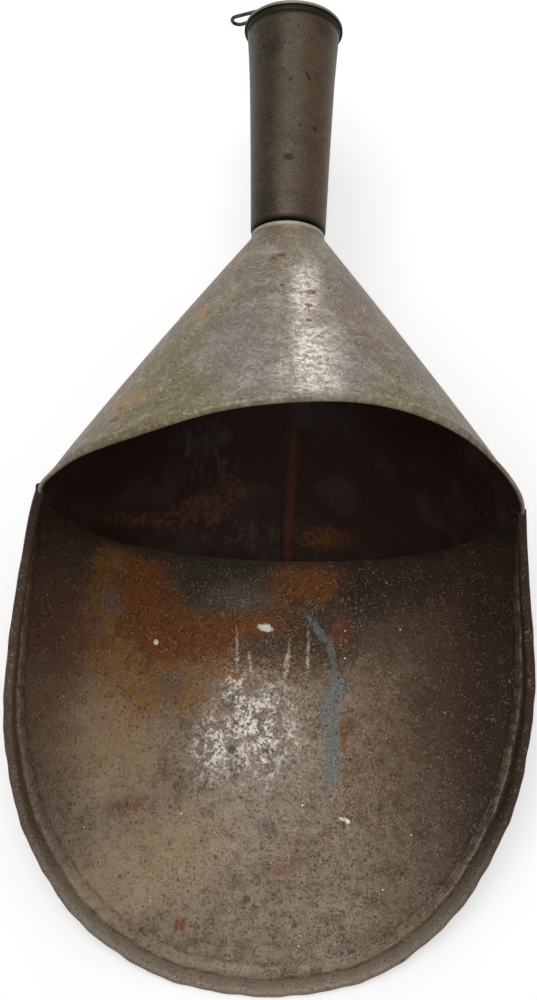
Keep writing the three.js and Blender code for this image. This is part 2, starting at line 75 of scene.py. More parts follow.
Socket = bpy.types.NodeSocket
Outline = Callable[[float], tuple[np.ndarray, np.ndarray]]
Colour = tuple[float, float, float]


class Sheet(Enum):
    """Which face of a sheet a finish lies on."""

    INSIDE = 0
    OUTSIDE = 1


class Ends(Enum):
    """How the two ends of a sweep are closed."""

    OPEN = 0
    DISC = 1
    SHEET = 2


def tone(red: float, green: float, blue: float) -> Colour:
    """Turns a colour as seen on a screen, 0 to 255, into linear light.

    Args:
        red: The red share.
        green: The green share.
        blue: The blue share.

    Returns:
        The same colour in linear values from 0 to 1.
    """
    shares = (part / 255 for part in (red, green, blue))
    return tuple(((s + 0.055) / 1.055) ** 2.4 if s > 0.04 else s / 12.92 for s in shares)


def ease(value: np.ndarray | float) -> np.ndarray:
    """Runs smoothly from 0 to 1 as value does, and stays level beyond."""
    share = np.clip(value, 0, 1)
    return share * share * (3 - 2 * share)


def circle(radius: float, start: float, end: float, steps: int) -> np.ndarray:
    """Points along an arc about the origin of a flat plane.

    Args:
        radius: The arc's radius.
        start: The first angle in radians.
        end: The last angle in radians.
        steps: How many pieces the arc is divided into.

    Returns:
        An array of steps + 1 points with two values each.
    """
    angles = np.linspace(start, end, steps + 1)
    return radius * np.stack([np.cos(angles), np.sin(angles)], -1)


@dataclass(frozen=True)
class Layout:
    """Where the scoop's axis lies in the part's own frame."""

    pan_length: float = 197.0
    seam_radius: float = 95.0
    pan_sheet: float = 1.0

    def placed(self, points: np.ndarray) -> np.ndarray:
        """Moves points from millimetres about the axis to metres in the frame."""
        corner = np.array([0.0, self.pan_length / 2, self.seam_radius + self.pan_sheet])
        return (points + corner) * MM


LAYOUT = Layout()


class Skin:
    """Collects swept surfaces and makes one mesh object of them."""

    def __init__(self) -> None:
        """Starts with no surface."""
        self.points: list[np.ndarray] = []
        self.faces: list[list[int]] = []
        self.looks: list[int] = []
        self.marks: list[np.ndarray] = []
        self.count = 0

    def sweep(
        self,
        rings: np.ndarray,
        looks: np.ndarray | None = None,
        marks: np.ndarray | None = None,
        wrap: bool = True,
        loop: bool = False,
        ends: Ends = Ends.OPEN,
    ) -> None:
        """Adds the surface through a row of matching rings.

        Args:
            rings: Points by ring and place round the ring, in millimetres.
            looks: The finish of each strip of faces, by place round the ring.
            marks: The distance in from the rim at each point, for the finish.
            wrap: Whether each ring closes on itself.
            loop: Whether the last ring joins the first.
            ends: How the first and last rings are closed.
        """
        rows, columns = rings.shape[:2]
        along = np.arange(rows if loop else rows - 1)
        around = np.arange(columns if wrap else columns - 1)
        i, j = np.meshgrid(along, around, indexing="ij")
        after, beside = (i + 1) % rows, (j + 1) % columns
        corners = (i * columns + j, after * columns + j, after * columns + beside, i * columns + beside)
        quads = np.stack(corners, -1).reshape(-1, 4) + self.count
        strip = np.zeros(columns, int) if looks is None else np.asarray(looks)
        self.faces += quads.tolist()
        self.looks += strip[j].reshape(-1).tolist()
        for first in (0, (rows - 1) * columns) if ends is not Ends.OPEN else ():
            base = self.count + first
            if ends is Ends.DISC:
                self.faces.append(list(range(base, base + columns)))
                self.looks.append(int(strip[0]))
                continue
            for step in range(columns // 2 - 1):
                far = base + columns - 1 - step
                self.faces.append([base + step, base + step + 1, far - 1, far])
                self.looks.append(int(strip[step]))
        self.points.append(rings.reshape(-1, 3))
        self.marks.append(np.zeros(rows * columns) if marks is None else marks.reshape(-1))
        self.count += rows * columns

    def build(self, name: str, crease: float = 40.0) -> bpy.types.Object:
        """Makes the object, with doubled points merged and faces turned out.

        Args:
            name: The object's name.
            crease: The angle in degrees from which an edge is drawn sharp.

        Returns:
            The new object, linked to the scene.
        """
        mesh = bpy.data.meshes.new(name)
        mesh.from_pydata(LAYOUT.placed(np.concatenate(self.points)).tolist(), [], self.faces)
        mesh.polygons.foreach_set("material_index", self.looks)
        layer = mesh.attributes.new(RIM_WAY, "FLOAT", "POINT")
        layer.data.foreach_set("value", np.concatenate(self.marks).astype(np.float32))
        shape = bmesh.new()
        shape.from_mesh(mesh)
        bmesh.ops.remove_doubles(shape, verts=shape.verts, dist=MM * MM)
        bmesh.ops.dissolve_degenerate(shape, edges=shape.edges, dist=MM * MM)
        bmesh.ops.recalc_face_normals(shape, faces=shape.faces)
        for face in shape.faces:
            face.smooth = True
        shape.to_mesh(mesh)
        shape.free()
        mesh.set_sharp_from_angle(angle=math.radians(crease))
        piece = bpy.data.objects.new(name, mesh)
        bpy.context.scene.collection.objects.link(piece)
        return piece


def dressed(piece: bpy.types.Object, *finishes: bpy.types.Material) -> bpy.types.Object:
    """Gives an object its materials, in the order of its faces' looks.

    Args:
        piece: The object.
        *finishes: Its materials.

    Returns:
        The same object.
    """
    slots = piece.data.materials
    while len(slots) < len(finishes):
        slots.append(None)
    for place, finish in enumerate(finishes):
        slots[place] = finish
    return piece


def put(tree: bpy.types.NodeTree, kind: str, **settings: object) -> bpy.types.Node:
    """Adds a node to a tree.

    Args:
        tree: The tree of a material or of the surroundings.
        kind: The node's kind.
        **settings: Its settings by name.

    Returns:
        The new node.
    """
    made = tree.nodes.new(kind)
    for key, value in settings.items():
        setattr(made, key, value)
    return made


def turned(radius: np.ndarray, along: np.ndarray, angle: np.ndarray) -> np.ndarray:
    """Points at a radius and angle about the axis; the turn starts at +X and rises to +Z."""
    return np.stack([radius * np.cos(angle), along + 0 * angle, radius * np.sin(angle)], -1)


@dataclass(frozen=True)
class Viewpoint:
    """The photograph's camera, in millimetres about the scoop's axis."""

    place: tuple[float, float, float] = (-28.7, -133.3, 511.4)
    focal: float = 1308.0
    centre: tuple[float, float] = (268.0, 495.0)
    frame: tuple[int, int] = (537, 1000)
    heading: float = 9.89
    drop: float = 75.03
    roll: float = 11.95
    film: float = 36.0

    def axes(self) -> tuple[Vector, Vector, Vector]:
        """Finds the camera's directions.

        Returns:
            The ways to the right, up, and ahead into the picture.
        """
        heading, drop, roll = (math.radians(a) for a in (self.heading, self.drop, self.roll))
        flat = math.cos(drop)
        ahead = Vector((math.sin(heading) * flat, math.cos(heading) * flat, -math.sin(drop)))
        level = Vector((math.cos(heading), -math.sin(heading), 0))
        upright = level.cross(ahead)
        right = math.cos(roll) * level + math.sin(roll) * upright
        return right, right.cross(ahead), ahead

    def spot(self, pixel: tuple[float, float], tree: BVHTree) -> Vector:
        """Finds the place on a surface that shows at a pixel of the photograph.

        Args:
            pixel: The place in the photograph, across and down.
            tree: The surface's faces, in metres.

        Returns:
            The place on the surface, in metres.
        """
        right, up, ahead = self.axes()
        across, down = pixel[0] - self.centre[0], pixel[1] - self.centre[1]
        way = (ahead * self.focal + right * across - up * down).normalized()
        start = Vector(LAYOUT.placed(np.array(self.place)))
        hit = tree.ray_cast(start, way)[0]
        if hit is None:
            raise ValueError(f"nothing shows at pixel {pixel}")
        return hit

    def build(self) -> bpy.types.Object:
        """Sets the camera up in the scene.

        Returns:
            The camera.
        """
        lens = bpy.data.cameras.new("view")
        lens.sensor_width = self.film
        lens.lens = self.film * self.focal / max(self.frame)
        lens.shift_x = (self.frame[0] / 2 - self.centre[0]) / max(self.frame)
        lens.shift_y = (self.centre[1] - self.frame[1] / 2) / max(self.frame)
        lens.clip_start = MM
        right, up, ahead = self.axes()
        camera = bpy.data.objects.new("view", lens)
        turn = Matrix((right, up, -ahead)).transposed().to_4x4()
        place = Vector(LAYOUT.placed(np.array(self.place)))
        camera.matrix_world = Matrix.Translation(place) @ turn
        bpy.context.scene.collection.objects.link(camera)
        bpy.context.scene.camera = camera
        return camera


class Bench:
    """The nodes of one material, made by small named steps."""

    def __init__(self, name: str, ground: Colour) -> None:
        """Starts a material with one even colour and the object's own coordinates.

        Args:
            name: The material's name.
            ground: The colour under all the others.
        """
        self.colour: Socket | Colour = ground
        self.clouds: dict[float, Socket] = {}
        self.material = bpy.data.materials.new(name)
        self.material.use_nodes = True
        self.tree = self.material.node_tree
        self.tree.nodes.clear()
        self.shader = self.node("ShaderNodeBsdfPrincipled")
        output = self.node("ShaderNodeOutputMaterial")
        self.tree.links.new(self.shader.outputs["BSDF"], output.inputs["Surface"])
        self.place = self.node("ShaderNodeTexCoord").outputs["Object"]

    def node(self, kind: str, **settings: object) -> bpy.types.Node:
        """Adds a node of a kind, with its settings."""
        return put(self.tree, kind, **settings)

    def feed(self, entry: Socket, value: Socket | float | Colour) -> None:
        """Links a socket to an entry, or writes a plain value there.

        Args:
            entry: The entry of a node.
            value: The socket, number or colour that it gets.
        """
        if isinstance(value, bpy.types.NodeSocket):
            self.tree.links.new(value, entry)
        elif entry.type == "RGBA":
            entry.default_value = (*value, 1.0)
        else:
            entry.default_value = value

    def sum(self, kind: str, first: Socket | float, second: Socket | float = 0.0) -> Socket:
        """Works out one step of arithmetic, kept between 0 and 1.

        Args:
            kind: The operation, such as ADD or MULTIPLY.
            first: The first value.
            second: The second value.

        Returns:
            The result.
        """
        made = self.node("ShaderNodeMath", operation=kind, use_clamp=True)
        self.feed(made.inputs[0], first)
        self.feed(made.inputs[1], second)
        return made.outputs[0]

    def ramp(self, value: Socket, low: float, high: float, start: float = 0, end: float = 1) -> Socket:
        """Maps a value smoothly from one range to another, level beyond it.

        Args:
            value: The value to map.
            low: Where the ramp starts.
            high: Where the ramp ends.
            start: The result at low.
            end: The result at high.

        Returns:
            The mapped value.
        """
        made = self.node("ShaderNodeMapRange", interpolation_type="SMOOTHSTEP")
        for key, number in zip(("Value", "From Min", "From Max", "To Min", "To Max"),
                               (value, low, high, start, end)):
            self.feed(made.inputs[key], number)
        return made.outputs["Result"]

    def moved(
        self,
        spot: Vector | Sequence[float],
        size: Sequence[float],
        turn: Sequence[float] = (0, 0, 0),
        undo: bool = False,
    ) -> Socket:
        """Scales, turns and moves the object's own coordinates.

        Args:
            spot: How far they are moved.
            size: How much they are scaled along each axis.
            turn: How far they are turned about each axis, in radians.
            undo: Whether to go the other way, into a space with that spot, size and turn.

        Returns:
            The new coordinates.
        """
        made = self.node("ShaderNodeMapping", vector_type="TEXTURE" if undo else "POINT")
        self.feed(made.inputs["Vector"], self.place)
        for key, value in (("Location", spot), ("Rotation", turn), ("Scale", size)):
            made.inputs[key].default_value = value
        return made.outputs[0]

    def fade(self, place: Socket, kind: str) -> Socket:
        """Makes an even fade through coordinates.

        Args:
            place: The coordinates.
            kind: LINEAR to rise along the first of them, SPHERICAL to fall off all round.

        Returns:
            The fade.
        """
        made = self.node("ShaderNodeTexGradient", gradient_type=kind)
        self.feed(made.inputs["Vector"], place)
        return made.outputs["Fac"]

    def noise(
        self,
        grain: float,
        detail: float = 3,
        rough: float = 0.55,
        seed: float = 0,
        stretch: tuple[float, float, float] = (1, 1, 1),
    ) -> Socket:
        """Makes a cloudy pattern.

        Args:
            grain: The size of its features in millimetres.
            detail: How many finer layers it has.
            rough: How strong the finer layers are.
            seed: A shift that makes it unlike the others.
            stretch: How much longer its features are along each axis.

        Returns:
            The pattern, mostly between 0.3 and 0.7.
        """
        place = self.moved((seed, seed * 0.7, -seed), [1 / (s * grain * MM) for s in stretch])
        made = self.node("ShaderNodeTexNoise")
        self.feed(made.inputs["Vector"], place)
        for key, number in (("Scale", 1), ("Detail", detail), ("Roughness", rough)):
            made.inputs[key].default_value = number
        return made.outputs["Fac"]

    def flecks(self, spacing: float, size: float, share: float, seed: float = 0) -> Socket:
        """Scatters small uneven spots.

        Args:
            spacing: The distance between places for a spot, in millimetres.
            size: A spot's radius as a share of the spacing.
            share: How many of the places hold a spot, from 0 to 1.
            seed: A shift that makes the scatter unlike the others.

        Returns:
            A mask that is 1 on the spots.
        """
        place = self.moved((seed, -seed, seed * 0.3), [1 / (spacing * MM)] * 3)
        cells = self.node("ShaderNodeTexVoronoi")
        cells.inputs["Scale"].default_value = 1
        self.feed(cells.inputs["Vector"], place)
        split = self.node("ShaderNodeSeparateColor")
        self.feed(split.inputs[0], cells.outputs["Color"])
        chosen = self.sum("LESS_THAN", split.outputs[0], share)
        reach = self.ramp(split.outputs[1], 0, 1, size * 0.4, size)
        near = self.sum("DIVIDE", cells.outputs["Distance"], reach)
        return self.sum("MULTIPLY", chosen, self.ramp(near, 0.55, 1.0, 1, 0))

    def slope(self, axis: int, low: float, high: float) -> Socket:
        """Rises from 0 to 1 along one axis of the scoop.

        Args:
            axis: 0 for the way to the right, 1 for the way to the handle, 2 for up.
            low: Where the rise starts, in millimetres about the scoop's axis.
            high: Where it ends.

        Returns:
            The mask.
        """
        start, end = LAYOUT.placed(np.array([[low] * 3, [high] * 3]))[:, axis].tolist()
        turn = ((0, 0, 0), (0, 0, -QUARTER), (0, QUARTER, 0))[axis]
        place = self.moved((-start / (end - start), 0, 0), [1 / (end - start)] * 3, turn)
        return self.ramp(self.fade(place, "LINEAR"), 0, 1)

    def outer(self, radius: float, blur: float) -> Socket:
        """Rises from 0 to 1 with the distance from the scoop's axis.

        Args:
            radius: Where the rise starts, in millimetres from the axis.
            blur: How far it takes.

        Returns:
            The mask.
        """
        axis = LAYOUT.placed(np.zeros(3)).tolist()
        place = self.moved(axis, (2 * radius * MM, ENDLESS, 2 * radius * MM), undo=True)
        return self.ramp(self.fade(place, "SPHERICAL"), 0.5, 0.5 - 0.5 * blur / radius)

    def rim(self, low: float, high: float, start: float = 0, end: float = 1) -> Socket:
        """Maps the distance in from the rim, in millimetres, as ramp does."""
        way = self.node("ShaderNodeAttribute", attribute_name=RIM_WAY)
        return self.ramp(way.outputs["Fac"], low, high, start, end)

    def band(self, middle: float, reach: float) -> Socket:
        """Marks a soft line that runs at one distance in from the rim."""
        rise = self.rim(middle - reach, middle)
        return self.sum("MULTIPLY", rise, self.rim(middle, middle + reach, 1, 0))

    def coat(self, mask: Socket, colour: Colour, strength: float = 1.0) -> None:
        """Lays a colour over what is there so far.

        Args:
            mask: Where it shows.
            colour: The new colour.
            strength: How well it covers.
        """
        made = self.node("ShaderNodeMix", data_type="RGBA")
        self.feed(made.inputs[0], self.sum("MULTIPLY", mask, strength))
        self.feed(made.inputs[6], self.colour)
        self.feed(made.inputs[7], colour)
        self.colour = made.outputs[2]

    def span(self, share: Socket, low: Socket | float, high: Socket | float) -> Socket:
        """Mixes two plain numbers, as coat does two colours.

        Args:
            share: How much of the second there is.
            low: The first number.
            high: The second.

        Returns:
            The mix.
        """
        made = self.node("ShaderNodeMix", data_type="FLOAT")
        self.feed(made.inputs[0], share)
        self.feed(made.inputs[2], low)
        self.feed(made.inputs[3], high)
        return made.outputs[0]

    def blot(self, mark: "Blot") -> Socket:
        """Makes the mask of one uneven patch, 1 inside it.

        Args:
            mark: The patch.

        Returns:
            The mask.
        """
        size = (mark.reach[0] * MM * FADE, mark.reach[1] * MM * FADE, FADE)
        fade = self.fade(self.moved(mark.spot, size, (0, 0, math.radians(mark.turn)), undo=True), "SPHERICAL")
        if mark.grain not in self.clouds:
            self.clouds[mark.grain] = self.noise(mark.grain, 5, 0.68, mark.grain)
        edge = self.node("ShaderNodeMath", operation="MULTIPLY_ADD")
        self.feed(edge.inputs[0], self.clouds[mark.grain])
        edge.inputs[1].default_value = -mark.ragged / FADE
        self.feed(edge.inputs[2], fade)
        middle = 1 - (1 + mark.ragged / 2) / FADE
        reach = mark.soft / FADE
        return self.ramp(edge.outputs[0], middle - reach, middle + reach)

    def blots(self, marks: list["Blot"]) -> Socket:
        """Joins the masks of several patches.

        Args:
            marks: The patches.

        Returns:
            The joined mask.
        """
        joined = self.blot(marks[0])
        for mark in marks[1:]:
            joined = self.sum("MAXIMUM", joined, self.blot(mark))
        return joined

    def finish(
        self,
        metal: Socket | float,
        rough: Socket | float,
        height: Socket,
        depth: float,
        gloss: float = 0.25,
    ) -> bpy.types.Material:
        """Feeds the shader and gives the finished material.

        Args:
            metal: How much bare metal shows.
            rough: How dull the surface is.
            height: The surface's fine relief, from 0 to 1.
            depth: How deep that relief is, in millimetres.
            gloss: How much the surface shines where no metal shows.

        Returns:
            The material.
        """
        self.shader.inputs["Specular IOR Level"].default_value = gloss
        self.feed(self.shader.inputs["Base Color"], self.colour)
        self.feed(self.shader.inputs["Metallic"], metal)
        self.feed(self.shader.inputs["Roughness"], rough)
        relief = self.node("ShaderNodeBump")
        relief.inputs["Distance"].default_value = depth * MM
        self.feed(relief.inputs["Height"], height)
        self.feed(self.shader.inputs["Normal"], relief.outputs["Normal"])
        return self.material


@dataclass(frozen=True)
class Blot:
    """One uneven patch on a surface.

    Its reach is half its width and half its length in millimetres, its turn is in
    degrees, and its edge is uneven by a share of its reach, in waves of one grain.
    """

    spot: Vector
    reach: tuple[float, float]
    turn: float
    ragged: float
    grain: float
    soft: float


@dataclass(frozen=True)
class Marker:
    """Finds places on a piece by where they show in the photograph."""

    viewpoint: Viewpoint
    tree: BVHTree

    @classmethod
    def on(cls, piece: bpy.types.Object, viewpoint: Viewpoint) -> "Marker":
        """Makes a marker for one piece.

        Args:
            piece: The piece that the places lie on.
            viewpoint: The photograph's camera.

        Returns:
            The marker.
        """
        points = [vertex.co for vertex in piece.data.vertices]
        faces = [tuple(face.vertices) for face in piece.data.polygons]
        return cls(viewpoint, BVHTree.FromPolygons(points, faces))

    def blot(
        self,
        across: float,
        down: float,
        reach: tuple[float, float],
        turn: float = 0.0,
        ragged: float = 1.2,
        grain: float = 3.0,
        soft: float = 0.3,
    ) -> Blot:
        """Makes a patch that shows at a pixel of the photograph.

        Args:
            across: The pixel from the left.
            down: The pixel from the top.
            reach: The patch's half width and half length in millimetres.
            turn: How far it is turned, in degrees.
            ragged: How uneven its edge is.
            grain: The size of the unevenness in millimetres.
            soft: How softly it fades.

        Returns:
            The patch.
        """
        spot = self.viewpoint.spot((across, down), self.tree)
        return Blot(spot, reach, turn, ragged, grain, soft)

    def blots(self, *rows: tuple[float | tuple[float, float], ...]) -> list[Blot]:
        """Makes several patches, each from a row of what blot takes."""
        return [self.blot(*row) for row in rows]


@dataclass(frozen=True)
class Flare:
    """How far a top corner of the pan is bent out, and how soon it comes back."""

    out: float
    reach: float
    power: float


@dataclass(frozen=True)
class Bulge:
    """A place where the rim stands out from its even curve."""

    across: float
    ahead: float
    reach: float
    out: float


@dataclass
class Pan:
    """The pan: one trough-shaped sheet, its rim folded over a wire."""

    seam_radius: float = 95.0
    length: float = 197.0
    sheet: float = 1.0
    wire_radius: float = 0.9
    wire_gap: float = 0.2
    fold_gap: float = 0.1
    seam_gap: float = 0.3
    hem_width: float = 5.0
    hem_bulge: float = 0.35
    ridge_width: float = 6.2
    ridge_height: float = 0.65
    ridge_power: float = 1.4
    tip_share: float = 0.6
    roll_way: float = 3.0
    corner_sweep: float = 22.0
    corner_drop_share: float = 0.072
    wall_flare_share: float = 0.28
    flat_spread_share: float = 0.1
    nose_share: float = 2.3
    spine_share: float = 0.72
    corner_blend: float = 35.2
    dent_depth: float = 0.35
    dent_start: float = 20.0
    broad_dents: tuple[float, float] = (27.0, 33.0)
    small_dents: tuple[float, float] = (15.0, 19.0)
    floor_half_width: float = 45.0
    floor_dent_share: float = 0.2
    left_flare: Flare = Flare(2.6, 32.0, 2.5)
    right_flare: Flare = Flare(4.4, 24.0, 1.1)
    flare_start: float = math.radians(52)
    bulges: tuple[Bulge, ...] = (
        Bulge(66, 168, 34, 2.3), Bulge(40, 188, 24, 1.6), Bulge(-60, 172, 40, 0.9),
        Bulge(124, 60, 26, 0.6),
    )
    rim_wave: float = 0.22
    rim_waves: tuple[tuple[float, float, float], ...] = ((17, 1.0, 0.5), (41, 0.7, 0.0), (73, 0.5, 2.0))
    half_stations: int = 150
    rows: int = 56
    ridge_steps: int = 12
    fold_steps: int = 12
    leg_steps: int = 8

    def dents(self, across: np.ndarray, ahead: np.ndarray) -> np.ndarray:
        """How far the sheet stands off its true shape, from years of use.

        Args:
            across: The distance across the sheet.
            ahead: The distance ahead of the seam.

        Returns:
            The height of the dents.
        """
        wide, long = self.broad_dents
        broad = np.sin(across / wide + 0.6) * np.sin(ahead / long + 0.4)
        wide, long = self.small_dents
        small = np.sin((across + 0.7 * ahead) / wide) * np.sin((ahead - 0.5 * across) / long + 1.1)
        low = self.floor_dent_share
        on_floor = low + (1 - low) * ease(np.abs(across) / self.floor_half_width)
        return self.dent_depth * (broad + 0.5 * small) * ease(ahead / self.dent_start) * on_floor

    def face(self, across: np.ndarray, ahead: np.ndarray, height: np.ndarray | float = 0) -> np.ndarray:
        """Places on the pan's inner face, or at a height over it.

        Args:
            across: The distance across the sheet, measured round the section.
            ahead: The distance ahead of the seam.
            height: The height over the face.

        Returns:
            The points, in millimetres about the axis.
        """
        flat = self.flat_spread_share * ahead
        bend = self.seam_radius + self.wall_flare_share * ahead
        turn = np.maximum(np.abs(across) - flat, 0) / bend
        side = np.sign(across)
        level = turn == 0
        x = np.where(level, across, side * (flat + bend * np.sin(turn)))
        z = bend * (1 - np.cos(turn)) - self.seam_radius
        spread = self.flat_spread_share + turn * self.wall_flare_share
        widening = self.flat_spread_share + self.wall_flare_share * np.sin(turn)
        along_x = np.where(level, 0, side * (widening - np.cos(turn) * spread))
        along_z = np.where(level, 0, self.wall_flare_share * (1 - np.cos(turn)) - np.sin(turn) * spread)
        across_way = np.stack([np.cos(turn), 0 * turn, side * np.sin(turn)], -1)
        ahead_way = np.stack([along_x, 0 * turn - 1, along_z], -1)
        normal = np.cross(ahead_way, across_way)
        normal *= np.where(normal[..., 2:] < 0, -1, 1)
        normal[..., 1] *= ahead > 0
        normal /= np.linalg.norm(normal, axis=-1, keepdims=True)
        x = x + np.where(level, 0, side * self.flare(turn, side, ahead))
        point = np.stack([x, -(ahead + self.seam_gap), z], -1)
        return point + normal * (height + self.dents(across, ahead))[..., None]

    def flare(self, turn: np.ndarray, side: np.ndarray, ahead: np.ndarray) -> np.ndarray:
        """How far the top of a wall is bent out near its corner.

        Args:
            turn: The angle up the wall, in radians.
            side: -1 on the left, 1 on the right.
            ahead: The distance ahead of the seam.

        Returns:
            The distance.
        """
        rise = ease((turn - self.flare_start) / (QUARTER - self.flare_start))
        out = [f.out * np.exp(-((ahead / f.reach) ** f.power)) for f in (self.left_flare, self.right_flare)]
        return rise * np.where(side < 0, out[0], out[1])

    def rim_across(self, ahead: np.ndarray) -> np.ndarray:
        """Half the sheet's width by the distance ahead of the seam.

        Args:
            ahead: The distance ahead of the seam.

        Returns:
            The half width, measured round the section.
        """
        corner = self.corner_drop_share * np.exp(-ahead / self.corner_sweep)
        nose = np.sqrt(np.maximum(1 - (ahead / self.length) ** self.nose_share, 0))
        return self.seam_radius * QUARTER * (corner + (1 - self.corner_drop_share) * nose)

    def rim_line(self) -> tuple[np.ndarray, np.ndarray]:
        """Evenly spaced stations round the rim, from the left corner to the right.

        Returns:
            Each station's place on the sheet, and its way in from the rim.
        """
        ahead = self.length * np.sin(np.linspace(0, QUARTER, self.half_stations**2))
        fine = np.stack([-self.rim_across(ahead), ahead], -1)
        fine[-1, 0] = 0
        way = np.concatenate([[0], np.cumsum(np.linalg.norm(np.diff(fine, axis=0), axis=1))])
        even = np.linspace(0, way[-1], self.half_stations + 1)
        left = np.stack([np.interp(even, way, fine[:, k]) for k in range(2)], -1)
        place = np.concatenate([left, left[-2::-1] * (-1, 1)])
        along = np.gradient(place, axis=0)
        along /= np.linalg.norm(along, axis=1, keepdims=True)
        square = np.stack([along[:, 1], -along[:, 0]], -1)
        level = np.stack([-np.sign(place[:, 0]), 0 * place[:, 0]], -1)
        share = ease(place[:, 1] / self.corner_blend)[:, None]
        inward = level * (1 - share) + square * share
        inward /= np.linalg.norm(inward, axis=1, keepdims=True)
        return place - inward * (self.stray(place) * share[:, 0])[:, None], inward

    def stray(self, place: np.ndarray) -> np.ndarray:
        """How far the rim stands out from its even curve at each station.

        Args:
            place: Each station's place on the sheet.

        Returns:
            The distances.
        """
        turn = np.arctan2(place[:, 0], place[:, 1] - self.length / 3)
        waves = sum(high * np.sin(count * turn + shift) for count, high, shift in self.rim_waves)
        out = self.rim_wave * waves
        for bulge in self.bulges:
            away = (place[:, 0] - bulge.across) ** 2 + (place[:, 1] - bulge.ahead) ** 2
            out += bulge.out * np.exp(-away / bulge.reach**2)
        return out

    def fold_line(self) -> tuple[np.ndarray, np.ndarray, np.ndarray]:
        """The middle of the fold at each station, with the ways out and up there.

        Returns:
            The middles, the ways out and the ways up.
        """
        place, inward = self.rim_line()
        ahead = np.maximum(place[:, 1], 0)
        rim = self.face(place[:, 0], ahead)
        up = self.face(place[:, 0], ahead, 1) - rim
        spot = place + inward * self.hem_width
        out = rim - self.face(spot[:, 0], np.maximum(spot[:, 1], 0))
        out -= up * np.sum(out * up, axis=1, keepdims=True)
        out /= np.linalg.norm(out, axis=1, keepdims=True)
        return rim + up * (self.wire_radius + self.wire_gap), out, up

    def wire(self) -> bpy.types.Object:
        """Makes the wire in the fold.

        Returns:
            The wire.
        """
        centre, out, up = self.fold_line()
        ring = circle(self.wire_radius, 0, TURN, self.fold_steps)[:-1]
        skin = Skin()
        skin.sweep(centre[:, None] + out[:, None] * ring[:, :1] + up[:, None] * ring[:, 1:], ends=Ends.DISC)
        return skin.build("pan_wire")

    def rings(self) -> tuple[np.ndarray, np.ndarray, np.ndarray]:
        """One section of the sheet at each station.

        Returns:
            The points, the finish of each strip, and the distance in from the rim.
        """
        place, inward = self.rim_line()

        def inside(distance: float, height: float) -> np.ndarray:
            """Finds the points at a distance in from the rim, at a height over the face.

            Args:
                distance: The distance in from the rim.
                height: The height over the face.

            Returns:
                One point at each station.
            """
            spot = place + inward * distance
            return self.face(spot[:, 0], np.maximum(spot[:, 1], 0), height)

        ridge_end = self.hem_width + self.ridge_width
        edge = place + inward * ridge_end
        edge[:, 1] = np.maximum(edge[:, 1], 0)
        middle = np.stack([0 * place[:, 0], self.spine_share * place[:, 1]], -1)
        shares = np.linspace(1, 0, self.rows, endpoint=False)
        spots = edge[:, None] + (middle - edge)[:, None] * shares[:, None]
        floor = [self.face(spots[..., 0], spots[..., 1], h) for h in (0, -self.sheet)]
        floor_way = ridge_end + np.linalg.norm(spots - edge[:, None], axis=-1)

        steps = np.linspace(0, 1, self.ridge_steps + 1)
        ridge_in = ridge_end - self.ridge_width * steps
        ridge_up = self.ridge_height * np.sin(steps * math.pi) ** self.ridge_power
        ridge = [np.stack([inside(d, u + h) for d, u in zip(ridge_in, ridge_up)], 1)
                 for h in (0, -self.sheet)]

        fold = self.wire_radius + self.wire_gap
        centre, out, up = self.fold_line()

        def curl(radius: float, start: float, end: float) -> np.ndarray:
            """Finds an arc of the fold at each station.

            Args:
                radius: Its radius about the wire's middle.
                start: The angle where it starts.
                end: The angle where it ends.

            Returns:
                The arc's points at each station.
            """
            arc = circle(radius, start, end, self.fold_steps)
            return centre[:, None] + out[:, None] * arc[:, :1] + up[:, None] * arc[:, 1:]

        tip = self.hem_width - self.fold_gap
        leg = np.linspace(0, 1, self.leg_steps + 1)[1:]
        bulge = self.hem_bulge * 4 * leg * (1 - leg)
        under = [inside(tip * s, (1 - s) * 2 * fold + s * self.fold_gap + b) for s, b in zip(leg, bulge)]
        over_tip = self.fold_gap + self.sheet * self.tip_share
        over = [inside(tip * s, (1 - s) * (2 * fold + self.sheet) + s * over_tip + b)
                for s, b in zip(leg[::-1], bulge[::-1])]
        points = np.concatenate([
            floor[0], ridge[0], curl(fold, -QUARTER, QUARTER), np.stack(under, 1),
            np.stack(over, 1), curl(fold + self.sheet, QUARTER, -QUARTER),
            ridge[1][:, ::-1], floor[1][:, ::-1],
        ], 1)
        round_steps = np.linspace(0, -self.roll_way, self.fold_steps + 1)
        plain = [ridge_in, round_steps * 0 + tip, leg * 0 + tip, tip * leg[::-1], round_steps,
                 ridge_in[::-1]]
        marks = np.concatenate([
            floor_way, np.tile(np.concatenate(plain), (len(place), 1)), floor_way[:, ::-1],
        ], 1)
        back = self.ridge_steps + 1 + self.rows
        looks = np.full(points.shape[1], Sheet.INSIDE.value)
        looks[-back - self.fold_steps // 3:] = Sheet.OUTSIDE.value
        return points, looks, marks

    def build(self) -> bpy.types.Object:
        """Makes the pan's sheet, without its finish.

        Returns:
            The sheet.
        """
        points, looks, marks = self.rings()
        skin = Skin()
        skin.sweep(points, looks, marks, wrap=False, ends=Ends.SHEET)
        return skin.build("pan_skin", crease=50)


